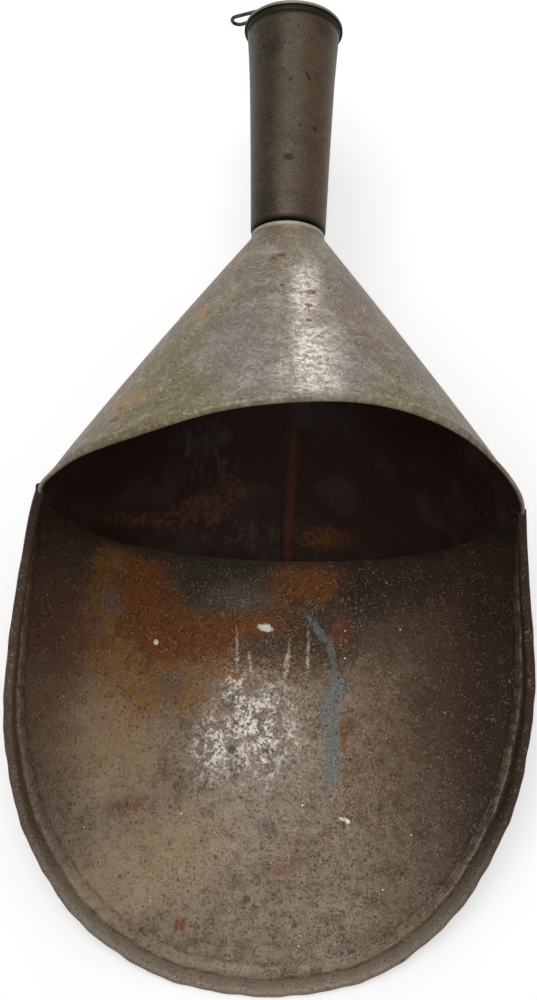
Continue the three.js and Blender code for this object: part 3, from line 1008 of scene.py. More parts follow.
@dataclass(frozen=True)
class Rolled:
    """A sheet rolled into a tube, its last edge lapped under its first."""

    sheet: float
    lap: float
    gap: float = 0.2
    sides: int = 240
    step_turn: float = 0.09
    lap_steps: int = 5

    def rings(self, outline: Outline) -> np.ndarray:
        """One section of the sheet at each angle round the tube.

        Args:
            outline: Gives the outer profile's radius and place along, by angle.

        Returns:
            The rings, from the bottom all the way round and under the start.
        """
        step_in = self.sheet + self.gap
        rings = []
        last = TURN - QUARTER
        for angle in np.linspace(-QUARTER, last, self.sides + 1):
            radius, along = outline(angle)
            inset = step_in * ease((angle - last + self.step_turn) / self.step_turn)
            rings.append(self.section(radius - inset, along, angle))
        radius, along = outline(-QUARTER)
        for step in range(1, self.lap_steps + 1):
            turn = self.lap * step / self.lap_steps / radius
            rings.append(self.section(radius - step_in, along, -QUARTER + turn))
        return np.stack(rings)

    def section(self, radius: np.ndarray, along: np.ndarray, angle: np.ndarray | float) -> np.ndarray:
        """The sheet's outer line from front to back, and its inner line back again.

        Args:
            radius: The outer radius at each row.
            along: Each row's place along.
            angle: The angle round the tube.

        Returns:
            The points.
        """
        outer = turned(radius, along, angle + 0 * radius)
        inner = turned(radius - self.sheet, along, angle + 0 * radius)
        return np.concatenate([outer, inner[::-1]])

    def looks(self, rows: int) -> np.ndarray:
        """The finish of each strip of a section with that many rows.

        Args:
            rows: How many rows the section has.

        Returns:
            The finishes.
        """
        looks = np.full(2 * rows, Sheet.INSIDE.value)
        looks[: rows - 1] = Sheet.OUTSIDE.value
        return looks


@dataclass(frozen=True)
class Bend:
    """A place where the hood's edge is bent back and pressed in, by its turn in degrees."""

    turn: float
    width: float
    back: float
    inward: float

    def share(self, angle: float) -> float:
        """How much of the bend there is at an angle in radians."""
        return math.exp(-(((math.degrees(angle) - self.turn) / self.width) ** 2))


@dataclass
class Cone:
    """The cone: hood above, skirt into the pan below, and a collar at the neck."""

    mouth_radius: float = 94.5
    neck_radius: float = 15.6
    length: float = 113.0
    collar: float = 2.5
    sheet: float = 0.8
    lap: float = 5.0
    wire_radius: float = 0.8
    wire_gap: float = 0.2
    corner_lift: float = 2.6
    corner_ease: float = 0.03
    set_back: float = 22.9
    lean: float = 3.5
    bends: tuple[Bend, ...] = (
        Bend(3, 14, -2.5, -2.8), Bend(24, 18, -4.6, -0.3), Bend(50, 22, -4.0, 0.3),
        Bend(95, 30, -5.9, 0.0), Bend(130, 20, -9.0, 0.1), Bend(156, 18, -5.9, 1.6),
        Bend(177, 14, -1.2, -1.9),
    )
    press_reach: float = 24.0
    thin_start: tuple[float, float] = (53.0, 140.0)
    thin_run: float = 26.0
    thin_share: float = 0.45
    sink: float = 1.5
    sink_reach: float = 6.0
    belly: float = 0.9
    seam_radius: float = 95.0
    skirt_depth: float = 5.5
    skirt_half_turn: float = math.radians(88)
    skirt_taper: float = math.radians(46)
    skirt_end: float = 0.8
    skirt_gap: float = 0.5
    curl_end: float = 1.17 * math.pi
    rows: int = 44
    collar_rows: int = 4
    curl_steps: int = 22
    rim_steps: int = 200

    @property
    def fall(self) -> float:
        """How much the radius falls for each millimetre along."""
        return (self.mouth_radius - self.neck_radius) / self.length

    @property
    def bite(self) -> float:
        """How deep the roll and the skirt start inside the sheet, so that no gap shows."""
        return self.sheet / 4

    @property
    def first_turn(self) -> float:
        """The angle at which the hood's rolled edge starts."""
        return math.asin(self.corner_lift / self.seam_radius)

    def radius(self, along: np.ndarray | float) -> np.ndarray | float:
        """The cone's outer radius at a place along the axis."""
        return self.mouth_radius - self.fall * along

    def cut(self, angle: float) -> float:
        """How far back the hood's edge lies at an angle, with its lean from use.

        Args:
            angle: The angle round the cone.

        Returns:
            The distance behind the seam.
        """
        rise = max(math.sin(angle), 0)
        plane = self.set_back / self.seam_radius * rise
        level = plane * self.mouth_radius / (1 + plane * self.fall)
        if rise == 0:
            return 0.0
        bent = sum(bend.back * bend.share(angle) for bend in self.bends) * ease(rise / self.corner_ease)
        return level + self.lean * math.sin(2 * angle) + bent

    def press(self, angle: float) -> float:
        """How far the hood's edge is pressed in at an angle.

        Args:
            angle: The angle round the cone.

        Returns:
            The distance.
        """
        if math.sin(angle) <= 0:
            return 0.0
        return sum(bend.inward * bend.share(angle) for bend in self.bends)

    def thin(self, angle: float) -> float:
        """How far the rolled edge is flattened at an angle, from 0 to 1 at the corners.

        Args:
            angle: The angle round the cone.

        Returns:
            The share.
        """
        if math.sin(angle) <= 0:
            return 0.0
        turn = math.degrees(angle)
        right, left = ((self.thin_start[0] - turn), (turn - self.thin_start[1]))
        return float(ease(max(right, left) / self.thin_run))

    def outline(self, angle: float) -> tuple[np.ndarray, np.ndarray]:
        """The outer profile at an angle, from the edge to the collar's end.

        Args:
            angle: The angle round the cone.

        Returns:
            Its radii and places along.
        """
        slope = np.linspace(self.cut(angle), self.length, self.rows)
        collar = np.linspace(self.length, self.length + self.collar, self.collar_rows)[1:]
        along = np.concatenate([slope, collar])
        back = along - slope[0]
        pressed = self.press(angle) * np.exp(-back / self.press_reach)
        pressed = pressed + self.sink * self.thin(angle) * np.exp(-back / self.sink_reach)
        pressed -= self.belly * math.cos(angle) ** 2 * np.sin(np.clip(along / self.length, 0, 1) * math.pi)
        return np.maximum(self.radius(along), self.neck_radius) - pressed * (along < self.length), along

    def curl(self, wire: bool) -> np.ndarray:
        """The section of the hood's rolled edge, or of the wire in it.

        Args:
            wire: Whether the section is the wire's.

        Returns:
            Its points by radius and place along, at the seam.
        """
        slope = math.atan(self.fall)
        heading = np.array([math.sin(slope), -math.cos(slope)])
        outward = np.array([math.cos(slope), math.sin(slope)])
        root = np.array([self.mouth_radius, 0.0])
        bore = self.wire_radius + self.wire_gap
        if wire:
            local = circle(self.wire_radius, 0, TURN, self.curl_steps)[:-1] + (0, bore)
        else:
            inner = circle(bore, -QUARTER, self.curl_end, self.curl_steps) + (0, bore)
            outer = circle(bore + self.sheet, self.curl_end, -QUARTER, self.curl_steps) + (0, bore)
            start = np.array([[-self.wire_radius, -self.bite]])
            end = np.array([[-self.wire_radius, self.bite - self.sheet]])
            local = np.concatenate([start, inner, outer, end])
        return root + local[:, :1] * heading + local[:, 1:] * outward

    def rim_rings(self, section: np.ndarray) -> np.ndarray:
        """Carries a section along the hood's edge from corner to corner.

        Args:
            section: The section at the seam, by radius and place along.

        Returns:
            The section at each step.
        """
        rings = []
        for angle in np.linspace(self.first_turn, math.pi - self.first_turn, self.rim_steps + 1):
            back = self.cut(angle)
            thin = self.thin(angle)
            root = np.array([self.mouth_radius, 0.0])
            size = root + (section - root) * (1 - (1 - self.thin_share) * thin)
            radius = size[:, 0] - back * self.fall - self.press(angle) - self.sink * thin
            rings.append(turned(radius, size[:, 1] + back, angle))
        return np.stack(rings)

    def skirt_rings(self, pan: Pan) -> np.ndarray:
        """The strip that enters the pan, from left to right.

        Args:
            pan: The pan, whose face it follows.

        Returns:
            Its section at each step.
        """
        rings = []
        run = 2 * self.sheet
        for turn in np.linspace(-self.skirt_half_turn, self.skirt_half_turn, self.rim_steps + 1):
            across = np.array(turn * self.seam_radius)
            narrow = ease((abs(turn) - self.skirt_taper) / (self.skirt_half_turn - self.skirt_taper))
            depth = np.array(self.skirt_depth + (self.skirt_end - self.skirt_depth) * narrow)
            front = [pan.face(across, depth, self.skirt_gap + h) for h in (0, self.sheet)]
            root = [
                np.array([(self.radius(y) - d) * math.sin(turn), y, -(self.radius(y) - d) * math.cos(turn)])
                for d, y in ((0, 0), (self.bite, run), (self.sheet - self.bite, run), (self.sheet, 0))
            ]
            rings.append(np.stack([front[0], *root, front[1]]))
        return np.stack(rings)

    def build(self, pan: Pan) -> tuple[bpy.types.Object, bpy.types.Object]:
        """Makes the cone's sheet and the wire in its edge, without their finish.

        Args:
            pan: The pan, whose face the skirt follows.

        Returns:
            The sheet and the wire.
        """
        roll = Rolled(self.sheet, self.lap)
        skin = Skin()
        rings = roll.rings(self.outline)
        skin.sweep(rings, roll.looks(rings.shape[1] // 2), ends=Ends.SHEET)
        curl = self.curl(wire=False)
        edge = self.rim_rings(curl)
        marks = np.tile(np.linspace(1, 2, len(curl)), (len(edge), 1))
        skin.sweep(edge, np.full(len(curl), Sheet.OUTSIDE.value), marks, ends=Ends.SHEET)
        skirt = self.skirt_rings(pan)
        skin.sweep(skirt, np.full(skirt.shape[1], Sheet.INSIDE.value), ends=Ends.DISC)
        wire = Skin()
        wire.sweep(self.rim_rings(self.curl(wire=True)), ends=Ends.DISC)
        return skin.build("cone_skin"), wire.build("hood_wire")


@dataclass
class Handle:
    """The handle: a lapped, tapered tube, swaged at the neck and flared at the end."""

    start: float = 115.8
    length: float = 100.0
    neck_radius: float = 16.0
    end_radius: float = 19.8
    sheet: float = 0.8
    lap: float = 4.0
    swage: float = 2.0
    plug_radius: float = 13.5
    plug_start: float = 108.8
    swell: float = 0.6
    swell_share: float = 0.3
    squeeze: float = 0.22
    cove: float = 3.4
    cove_depth: float = 0.5
    lip_land: float = 1.0
    lip_flare: float = 1.2
    cap_gap: float = 0.3
    cap_sheet: float = 0.6
    crimp: float = 0.2
    cap_bead: float = 0.9
    cap_rise: float = 0.1
    cap_dish: tuple[tuple[float, float], ...] = ((0.0, -0.12), (0.6, -0.1), (0.86, -0.02), (0.92, -0.15))
    cap_round: float = 0.15
    hem_round: float = 0.2
    grip_rows: int = 30
    swage_rows: int = 6
    lip_rows: int = 12
    bead_steps: int = 14
    sides: int = 160

    @property
    def lip_end(self) -> float:
        """Where the tube ends."""
        return self.start + self.length

    def outline(self, angle: float) -> tuple[np.ndarray, np.ndarray]:
        """The outer profile, the same at every angle but for a slight squeeze of the grip.

        Args:
            angle: The angle round the handle.

        Returns:
            Its radii and places along.
        """
        share = np.linspace(0, 1, self.grip_rows)
        grip_start = self.start + self.swage
        grip_end = self.lip_end - self.cove
        grip = self.neck_radius + (self.end_radius - self.neck_radius) * share
        grip = grip - self.squeeze * np.sin(share * math.pi) * math.cos(2 * angle)
        grip = grip + self.swell * np.clip((share - 1 + self.swell_share) / self.swell_share, 0, 1) ** 2
        turn = np.linspace(0, QUARTER, self.swage_rows)
        shoulder = self.neck_radius - self.plug_radius
        swage_radius = self.plug_radius + shoulder * np.sin(turn)
        swage_along = grip_start - self.swage / 2 * np.cos(turn)
        flare = np.linspace(0, 1, self.lip_rows + 1)[1:]
        lip = self.end_radius + self.swell + (self.lip_flare - self.swell) * flare
        lip -= self.cove_depth * np.sin(flare * math.pi)
        lip_along = grip_end + (self.cove - self.lip_land) * flare
        radius = np.concatenate([[self.plug_radius], swage_radius, grip[1:], lip, [lip[-1]]])
        along = np.concatenate([[self.plug_start], swage_along,
                                (grip_start + (grip_end - grip_start) * share)[1:], lip_along,
                                [self.lip_end]])
        return radius, along

    def cap_profile(self) -> np.ndarray:
        """The cap's section: a shallow dished disc with a round bead over the tube's lip.

        Returns:
            Its points by radius and place along.
        """
        bore = self.end_radius + self.lip_flare + self.cap_gap
        inside = self.lip_end + self.cap_gap
        face = inside + self.cap_sheet
        rim = self.lip_end - self.sheet - self.crimp
        outer = bore + self.cap_sheet
        bead = circle(self.cap_bead, 0.75 * math.pi, 0, self.bead_steps)
        bead += (outer - self.cap_bead, face + self.cap_rise - self.cap_bead)
        dish = np.array([(bore * share, face + rise) for share, rise in self.cap_dish])
        lower = np.array([(outer, rim + self.hem_round), (outer - self.cap_round, rim), (bore, rim),
                          (bore, inside - self.cap_round), (bore - self.cap_round, inside), (0.0, inside)])
        return np.concatenate([dish, bead, lower])

    def build(self) -> tuple[bpy.types.Object, bpy.types.Object]:
        """Makes the tube and its cap, without their finish.

        Returns:
            The tube and the cap.
        """
        roll = Rolled(self.sheet, self.lap, sides=self.sides)
        tube = Skin()
        rings = roll.rings(self.outline)
        tube.sweep(rings, roll.looks(rings.shape[1] // 2), ends=Ends.SHEET)
        profile = self.cap_profile()
        cap = Skin()
        angles = np.linspace(0, TURN, self.sides, endpoint=False)
        cap.sweep(np.stack([turned(profile[:, 0], profile[:, 1], a) for a in angles]),
                  wrap=False, loop=True)
        return tube.build("handle_skin"), cap.build("handle_cap_skin")


@dataclass
class Hanger:
    """The wire hang loop and the strap that holds it to the cap."""

    face: float = 216.7
    wire_radius: float = 0.8
    reach: float = 16.2
    round_end: float = 3.0
    bar: float = 5.0
    corner: float = 1.3
    root_out: float = 16.3
    root_turn: float = math.radians(143.8)
    lean: float = math.radians(210.2)
    turn_gap: float = 0.25
    strap_width: float = 2.6
    strap_sheet: float = 0.6
    strap_pad: float = 3.0
    fold_gap: float = 0.1
    soft_edge: float = 0.1
    hump_steps: int = 24
    steps: int = 10
    sides: int = 14

    def frame(self) -> tuple[np.ndarray, np.ndarray, np.ndarray]:
        """Where the loop is held.

        Returns:
            Its root on the cap, the way along its bar, and the way it reaches.
        """
        reach = np.array([math.cos(self.lean), 0, math.sin(self.lean)])
        bar = np.array([math.sin(self.lean), 0, -math.cos(self.lean)])
        root = np.array([self.root_out * math.cos(self.root_turn), self.face,
                         self.root_out * math.sin(self.root_turn)])
        return root, bar, reach

    def centre_line(self) -> np.ndarray:
        """The loop's centre line, along the bar and the way it reaches.

        Returns:
            Its points in that plane.
        """
        corner = np.array([self.bar / 2 - self.corner, self.corner])
        far = self.reach - self.round_end
        way = np.array([-corner[0], far - corner[1]])
        tangent = math.atan2(way[1], way[0]) - math.acos((self.corner - self.round_end) / np.hypot(*way))
        right = circle(self.corner, -QUARTER, tangent, self.steps) + corner
        top = circle(self.round_end, tangent, math.pi - tangent, 4 * self.steps) + (0, far)
        left = circle(self.corner, math.pi - tangent, math.pi + QUARTER, self.steps) + corner * (-1, 1)
        runs = [(right[-1], top[0]), (top[-1], left[0]), (left[-1], right[0])]
        share = np.linspace(0, 1, self.steps + 1)[1:-1, None]
        straight = [a + (b - a) * share for a, b in runs]
        return np.concatenate([right, straight[0], top, straight[1], left, straight[2]])

    def loop(self) -> bpy.types.Object:
        """Makes the wire loop, lying against the cap.

        Returns:
            The loop.
        """
        root, bar, reach = self.frame()
        root = root + (0, self.turn_gap + self.wire_radius, 0)
        line = self.centre_line()
        along = np.roll(line, -1, axis=0) - np.roll(line, 1, axis=0)
        along /= np.linalg.norm(along, axis=1, keepdims=True)
        ring = circle(self.wire_radius, 0, TURN, self.sides)[:-1]
        side = bar * along[:, 1:] - reach * along[:, :1]
        centre = root + line[:, :1] * bar + line[:, 1:] * reach
        rings = centre[:, None] + side[:, None] * ring[:, :1] + np.array([0, 1, 0]) * ring[:, 1:]
        skin = Skin()
        skin.sweep(rings, loop=True)
        return skin.build("hang_loop_wire")

    def strap(self) -> bpy.types.Object:
        """Makes the strap, bent over the loop's bar, with its edges rounded off.

        Returns:
            The strap.
        """
        root, bar, reach = self.frame()
        tunnel = self.wire_radius + self.turn_gap
        half = tunnel + self.strap_sheet + self.strap_pad
        top = self.fold_gap + self.strap_sheet
        hump = circle(1, math.pi, 0, self.hump_steps)
        over = hump * (tunnel + self.strap_sheet) + (0, tunnel)
        under = hump[::-1] * tunnel + (0, tunnel)
        pads = [(-half, top), (half, top), (half, self.fold_gap), (-half, self.fold_gap)]
        feet = [(-tunnel - self.strap_sheet, top), (tunnel + self.strap_sheet, top),
                (tunnel, self.fold_gap), (-tunnel, self.fold_gap)]
        outline = np.concatenate([[pads[0], feet[0]], over, [feet[1], pads[1], pads[2], feet[2]],
                                  under, [feet[3], pads[3]]])
        rings = [root + bar * along + outline[:, :1] * reach + outline[:, 1:] * np.array([0, 1, 0])
                 for along in (-self.strap_width / 2, self.strap_width / 2)]
        skin = Skin()
        skin.sweep(np.stack(rings), ends=Ends.SHEET)
        strap = skin.build("loop_strap_band")
        soften = strap.modifiers.new("soft_edges", "BEVEL")
        soften.width = self.soft_edge * MM
        soften.segments = 2
        soften.limit_method = "ANGLE"
        return strap


@dataclass
class Solder:
    """The solder that shows: lumps at the corners, and fillets round the seams."""

    seam_radius: float = 95.0
    sheet: float = 1.0
    lump_top: float = 2.3
    lump_out: float = 96.6
    lump_back: float = 0.2
    lump_length: float = 8.0
    lump_radius: float = 2.1
    lump_end: float = 0.02
    lump_powers: tuple[float, float] = (0.62, 0.6)
    lump_ripple: float = 0.09
    lump_sway: float = 0.06
    lump_sides: int = 24
    lump_rows: int = 16
    seam_gap: float = 0.3
    seam_bite: float = 0.1
    seam_leg: float = 1.2
    neck_start: float = 115.6
    neck_foot: float = 13.6
    neck_top: float = 15.7
    neck_leg: float = 1.5
    hollow_share: float = 0.28
    toe_share: float = 0.86
    toe_waves: tuple[float, float] = (0.1, 0.04)
    steps: int = 240

    def lump(self, name: str, side: int) -> bpy.types.Object:
        """Makes one drop-shaped lump under the end of the hood's roll.

        Args:
            name: The piece's name.
            side: -1 for the left corner, 1 for the right one.

        Returns:
            The lump.
        """
        rings = []
        sharp, blunt = self.lump_powers
        angles = np.linspace(0, TURN, self.lump_sides + 1)[:-1]
        for share in np.linspace(0, 1, self.lump_rows + 1):
            swell = math.sin(math.pi * share**sharp) ** blunt + self.lump_end
            ripple = 1 + self.lump_ripple * np.sin(3 * angles + 5 * share)
            ripple += self.lump_sway * math.sin(9 * share)
            radius = self.lump_radius * swell * ripple
            level = self.lump_top - self.lump_length * share
            rings.append(np.stack([side * self.lump_out + radius * np.cos(angles),
                                   self.lump_back + radius * np.sin(angles), level + 0 * angles], -1))
        skin = Skin()
        skin.sweep(np.stack(rings), ends=Ends.DISC)
        return skin.build(name, crease=80)

    def fillet(self, name: str, section: np.ndarray, start: float, end: float) -> bpy.types.Object:
        """Makes a fillet with an uneven, hand-run edge.

        Args:
            name: The piece's name.
            section: Its corner, then its two toes, by radius and place along.
            start: The angle where it starts.
            end: The angle where it ends.

        Returns:
            The fillet.
        """
        rings = []
        long, short = self.toe_waves
        for angle in np.linspace(start, end, self.steps + 1):
            uneven = self.toe_share + long * math.sin(23 * angle) * math.sin(7 * angle + 1)
            uneven += short * math.sin(61 * angle)
            toes = section[0] + (section[1:] - section[0]) * uneven
            hollow = (toes[0] + toes[1]) / 2 * (1 - self.hollow_share) + section[0] * self.hollow_share
            ring = np.stack([section[0], toes[0], hollow, toes[1]])
            rings.append(turned(ring[:, 0], ring[:, 1], angle))
        skin = Skin()
        closed = abs(end - start - TURN) < MM
        skin.sweep(np.stack(rings), ends=Ends.OPEN if closed else Ends.DISC)
        return skin.build(name, crease=70)

    def seam(self, cone: Cone) -> bpy.types.Object:
        """Makes the fillet round the outside of the seam between pan and cone.

        Args:
            cone: The cone, whose face it lies on.

        Returns:
            The fillet.
        """
        section = np.array([
            (cone.radius(0) + self.seam_gap, 0.0),
            (self.seam_radius + self.sheet - self.seam_bite, 0.0),
            (cone.radius(self.seam_leg) + self.seam_gap, self.seam_leg),
        ])
        return self.fillet("pan_seam_fillet", section, math.pi, TURN)

    def neck(self) -> bpy.types.Object:
        """Makes the ring between the cone's collar and the handle's swage.

        Returns:
            The ring.
        """
        section = np.array([
            (self.neck_foot, self.neck_start), (self.neck_top, self.neck_start),
            (self.neck_foot, self.neck_start + self.neck_leg),
        ])
        return self.fillet("neck_fillet", section, 0, TURN)


@dataclass(frozen=True)
class Patina:
    """What all the old sheet shares: soft stains, and over them light and dark specks."""

    grain: float = 1.0
    mottle: float = 5.5
    light: float = 0.45
    dark: float = 0.5
    seed: float = 3.0

    def stain(self, bench: Bench, light: Colour, dark: Colour, strength: float) -> None:
        """Lays soft stains over a finish.

        Args:
            bench: The finish so far.
            light: The colour of the light stains.
            dark: The colour of the dark ones.
            strength: How well they cover.
        """
        for grain in (self.mottle * 2.4, self.mottle, self.mottle * 0.4):
            mottle = bench.noise(grain, detail=2, rough=0.6, seed=self.seed + grain)
            bench.coat(bench.ramp(mottle, 0.52, 0.32), dark, strength)
            bench.coat(bench.ramp(mottle, 0.48, 0.7), light, strength * 0.7)

    def specks(self, bench: Bench, light: Colour, dark: Colour) -> tuple[Socket, Socket]:
        """Lays fine specks over a finish.

        Args:
            bench: The finish so far.
            light: The colour of the light specks.
            dark: The colour of the dark ones.

        Returns:
            The specks' pattern, and the patches where they are strong.
        """
        grit = bench.noise(self.grain, detail=2, rough=0.6, seed=self.seed)
        patch = bench.noise(self.mottle, detail=4, rough=0.6, seed=self.seed + 9)
        patch = bench.ramp(patch, 0.42, 0.6, 0.2, 1)
        bench.coat(bench.sum("MULTIPLY", bench.ramp(grit, 0.54, 0.66), patch), light, self.light)
        bench.coat(bench.sum("MULTIPLY", bench.ramp(grit, 0.47, 0.36), patch), dark, self.dark)
        return grit, patch


@dataclass(frozen=True)
class PanFinish:
    """Old tinned sheet: brown rust with fine speckle, worn to silver on the floor."""

    ground: Colour = tone(114, 96, 78)
    dark: Colour = tone(38, 27, 19)
    umber: Colour = tone(66, 45, 31)
    grey: Colour = tone(134, 122, 107)
    sand: Colour = tone(168, 146, 112)
    fawn: Colour = tone(150, 130, 104)
    olive: Colour = tone(46, 40, 30)
    rusty: Colour = tone(60, 34, 14)
    orange: Colour = tone(110, 60, 12)
    ochre: Colour = tone(122, 80, 24)
    red: Colour = tone(112, 54, 32)
    haze: Colour = tone(142, 136, 128)
    silver: Colour = tone(184, 178, 168)
    slate: Colour = tone(96, 104, 102)
    plum: Colour = tone(92, 78, 70)
    pale: Colour = tone(158, 147, 130)
    black: Colour = tone(24, 17, 12)
    white: Colour = tone(232, 228, 218)
    roll: tuple[float, float] = (4.7, 5.1)
    # How far ahead of the seam the painted shadow in front of the cone's skirt lies.
    seam_shadow: tuple[float, float] = (-13, -6)
    # Where the painted shade in the back corners lies: how far ahead, and how far in from the rim.
    corner: tuple[float, float] = (-40, -6)
    corner_way: tuple[float, float] = (16, 11)

    def shades(self, bench: Bench, mark: Marker) -> None:
        """Lays the broad dark and light areas: stains, with painted light towards the tip and painted shade
        on the right wall and in front of the hood.

        Args:
            bench: The finish so far.
            mark: Finds the patches' places on the pan.
        """
        # Painted light: the floor turns lighter grey towards the tip, away from the hood.
        bench.coat(bench.slope(1, -70, -170), self.grey, 0.5)
        Patina().stain(bench, self.grey, self.umber, 0.4)
        # Painted shade: the right wall darkens, umber and then dark towards its top.
        bench.coat(bench.slope(0, 30, 78), self.umber, 0.55)
        bench.coat(bench.slope(0, 66, 100), self.dark, 0.6)
        bench.coat(bench.blots(mark.blots(
            (55, 570, (24, 40), 0, 1.2, 20, 0.5),
            (420, 585, (46, 28), 0, 1.2, 20, 0.6),
            (480, 640, (24, 60), 0, 1.2, 20, 0.6),
            (240, 610, (60, 24), 0, 1.4, 20, 0.6),
        )), self.umber, 0.8)
        # Dark patches near the seam: dark rust, and along the band just under the hood painted shadow as
        # well.
        bench.coat(bench.blots(mark.blots(
            (66, 530, (22, 16), 0, 1.4, 8, 0.5),
            (395, 575, (46, 16), 8, 1.4, 20, 0.6),
            (362, 590, (14, 18), 0, 1.6, 8, 0.5),
            (500, 570, (12, 30), 0, 1.2, 8, 0.5),
            (250, 572, (56, 12), 0, 1.4, 8, 0.6),
            (316, 612, (26, 22), 0, 1.4, 8, 0.6),
        )), self.dark, 0.75)
        bench.coat(bench.blots(mark.blots(
            (96, 712, (26, 22), -20, 1.6, 8, 0.5),
            (70, 655, (14, 22), 0, 1.6, 8, 0.5),
        )), self.red, 0.3)
        bench.coat(bench.blots(mark.blots(
            (110, 740, (24, 26), 0, 1.6, 8, 0.6),
            (150, 860, (36, 20), 30, 1.6, 8, 0.6),
        )), self.sand, 0.4)
        # Painted shadow: a dark band just ahead of the seam, under the hood's edge.
        bench.coat(bench.slope(1, -9, -1), self.dark, 0.7)

    def rust(self, bench: Bench, mark: Marker) -> None:
        """Lays the orange rust, with the dark stain between its two arms.

        Args:
            bench: The finish so far.
            mark: Finds the patches' places on the pan.
        """
        broken = bench.ramp(bench.noise(3.2, detail=4, rough=0.7, seed=91), 0.4, 0.56, 0.35, 1)
        ochre = bench.blots(mark.blots(
            (136, 628, (20, 38), 8, 1.9, 8, 0.2),
            (232, 645, (48, 17), 6, 2.0, 8, 0.25),
            (172, 682, (24, 10), -30, 2.6, 8, 0.5),
            (306, 590, (19, 15), 0, 2.0, 8, 0.25),
        ))
        bench.coat(bench.sum("MULTIPLY", ochre, broken), self.ochre, 0.85)
        orange = bench.blots(mark.blots(
            (150, 608, (16, 24), 10, 2.2, 8, 0.4),
            (228, 634, (44, 11), 6, 2.4, 8, 0.4),
            (306, 584, (17, 11), 0, 2.2, 8, 0.4),
        ))
        bench.coat(orange, self.rusty, 0.8)
        bench.coat(bench.sum("MULTIPLY", orange, broken), self.orange, 0.85)
        bench.coat(bench.blots(mark.blots(
            (222, 580, (24, 15), 0, 1.8, 8, 0.5),
            (318, 632, (17, 16), 0, 1.8, 8, 0.5),
            (276, 652, (16, 9), 0, 2.2, 8, 0.5),
            (160, 553, (22, 4), -8, 1.6, 3, 0.5),
        )), self.olive, 0.75)
        bench.coat(bench.blots(mark.blots(
            (240, 598, (13, 7), 0, 2.2, 3, 0.6),
            (113, 603, (4.5, 6), 0, 1.8, 3, 0.4),
            (172, 686, (5.5, 7), -10, 2.0, 3, 0.5),
        )), self.plum, 0.6)
        bench.coat(bench.blots(mark.blots(
            (332, 586, (2.6, 9), -24, 1.8, 3, 0.4),
            (135, 537, (15, 2.2), -16, 1.5, 3, 0.4),
            (180, 925, (2.0, 3.4), -40, 1.8, 3, 0.5),
            (345, 735, (1.5, 7), 0, 2.4, 3, 0.5),
        )), self.orange, 0.8)
        bench.coat(bench.blots(mark.blots((352, 586, (11, 12), 0, 1.6, 8, 0.5))), self.black, 0.6)
        bench.coat(bench.blots(mark.blots(
            (132, 803, (6.5, 4), 0, 3.2, 3, 0.4),
            (164, 768, (2.6, 6), 10, 2.8, 3, 0.5),
            (340, 632, (5, 8), 0, 2.6, 3, 0.4),
            (296, 848, (1.2, 8), -12, 2.4, 3, 0.5),
            (280, 868, (3.0, 3.0), 0, 3.0, 3, 0.4),
            (283, 663, (3, 4), 0, 2.8, 3, 0.4),
        )), self.red, 0.45)

    def worn(self, bench: Bench, mark: Marker) -> Socket:
        """Lays the worn silver and the blue-grey streak.

        Args:
            bench: The finish so far.
            mark: Finds the patches' places on the pan.

        Returns:
            Where bare metal shows.
        """
        coarse = bench.noise(6, detail=4, rough=0.7, seed=23)
        fine = bench.noise(1.5, detail=3, rough=0.65, seed=27)
        fringe = bench.blots(mark.blots((258, 755, (29, 40), 6, 2.2, 8, 0.6)))
        core = bench.blots(mark.blots(
            (236, 694, (7, 10), 0, 2.2, 3, 0.5),
            (213, 744, (9, 15), -8, 2.2, 3, 0.5),
            (256, 730, (17, 20), 0, 2.8, 3, 0.8),
        ))
        drips = bench.blots([
            mark.blot(x, y, (width, length), turn, 2.6, 3, 0.6)
            for x, y, width, length, turn in (
                (237, 652, 0.8, 8, 4), (250, 662, 0.8, 6, 10), (287, 662, 1.1, 9, -6), (308, 655, 0.8, 9, 0),
            )
        ])
        bench.coat(bench.sum("MULTIPLY", fringe, bench.ramp(fine, 0.6, 0.46)), self.haze, 0.4)
        core = bench.sum("MULTIPLY", core, bench.ramp(coarse, 0.58, 0.44))
        core = bench.sum("MAXIMUM", core, bench.sum("MULTIPLY", drips, 0.6))
        core = bench.sum("MULTIPLY", core, bench.ramp(fine, 0.6, 0.46, 0.1, 1))
        bench.coat(core, self.silver, 0.85)
        streak = bench.blots(mark.blots(
            (318, 630, (1.8, 9), 36, 2.4, 3, 0.5),
            (331, 652, (1.6, 7), 16, 2.4, 3, 0.5),
            (337, 688, (4.6, 6), 12, 1.8, 3, 0.3),
            (329, 718, (4.2, 12), 4, 1.6, 3, 0.25),
            (331, 760, (3.4, 13), 0, 1.8, 3, 0.3),
        ))
        bench.coat(bench.sum("MULTIPLY", streak, bench.ramp(fine, 0.64, 0.5, 0.4, 1)), self.slate, 0.85)
        bench.coat(bench.blots(mark.blots(
            (265, 628, (3.4, 1.6), -8, 2.2, 3, 0.3),
            (156, 642, (1.0, 1.2), 0, 1.2, 3, 0.3),
            (345, 820, (2.2, 1.1), -20, 2.2, 3, 0.3),
        )), self.white, 0.8)
        return bench.sum("MAXIMUM", bench.sum("MULTIPLY", fringe, 0.3), core)

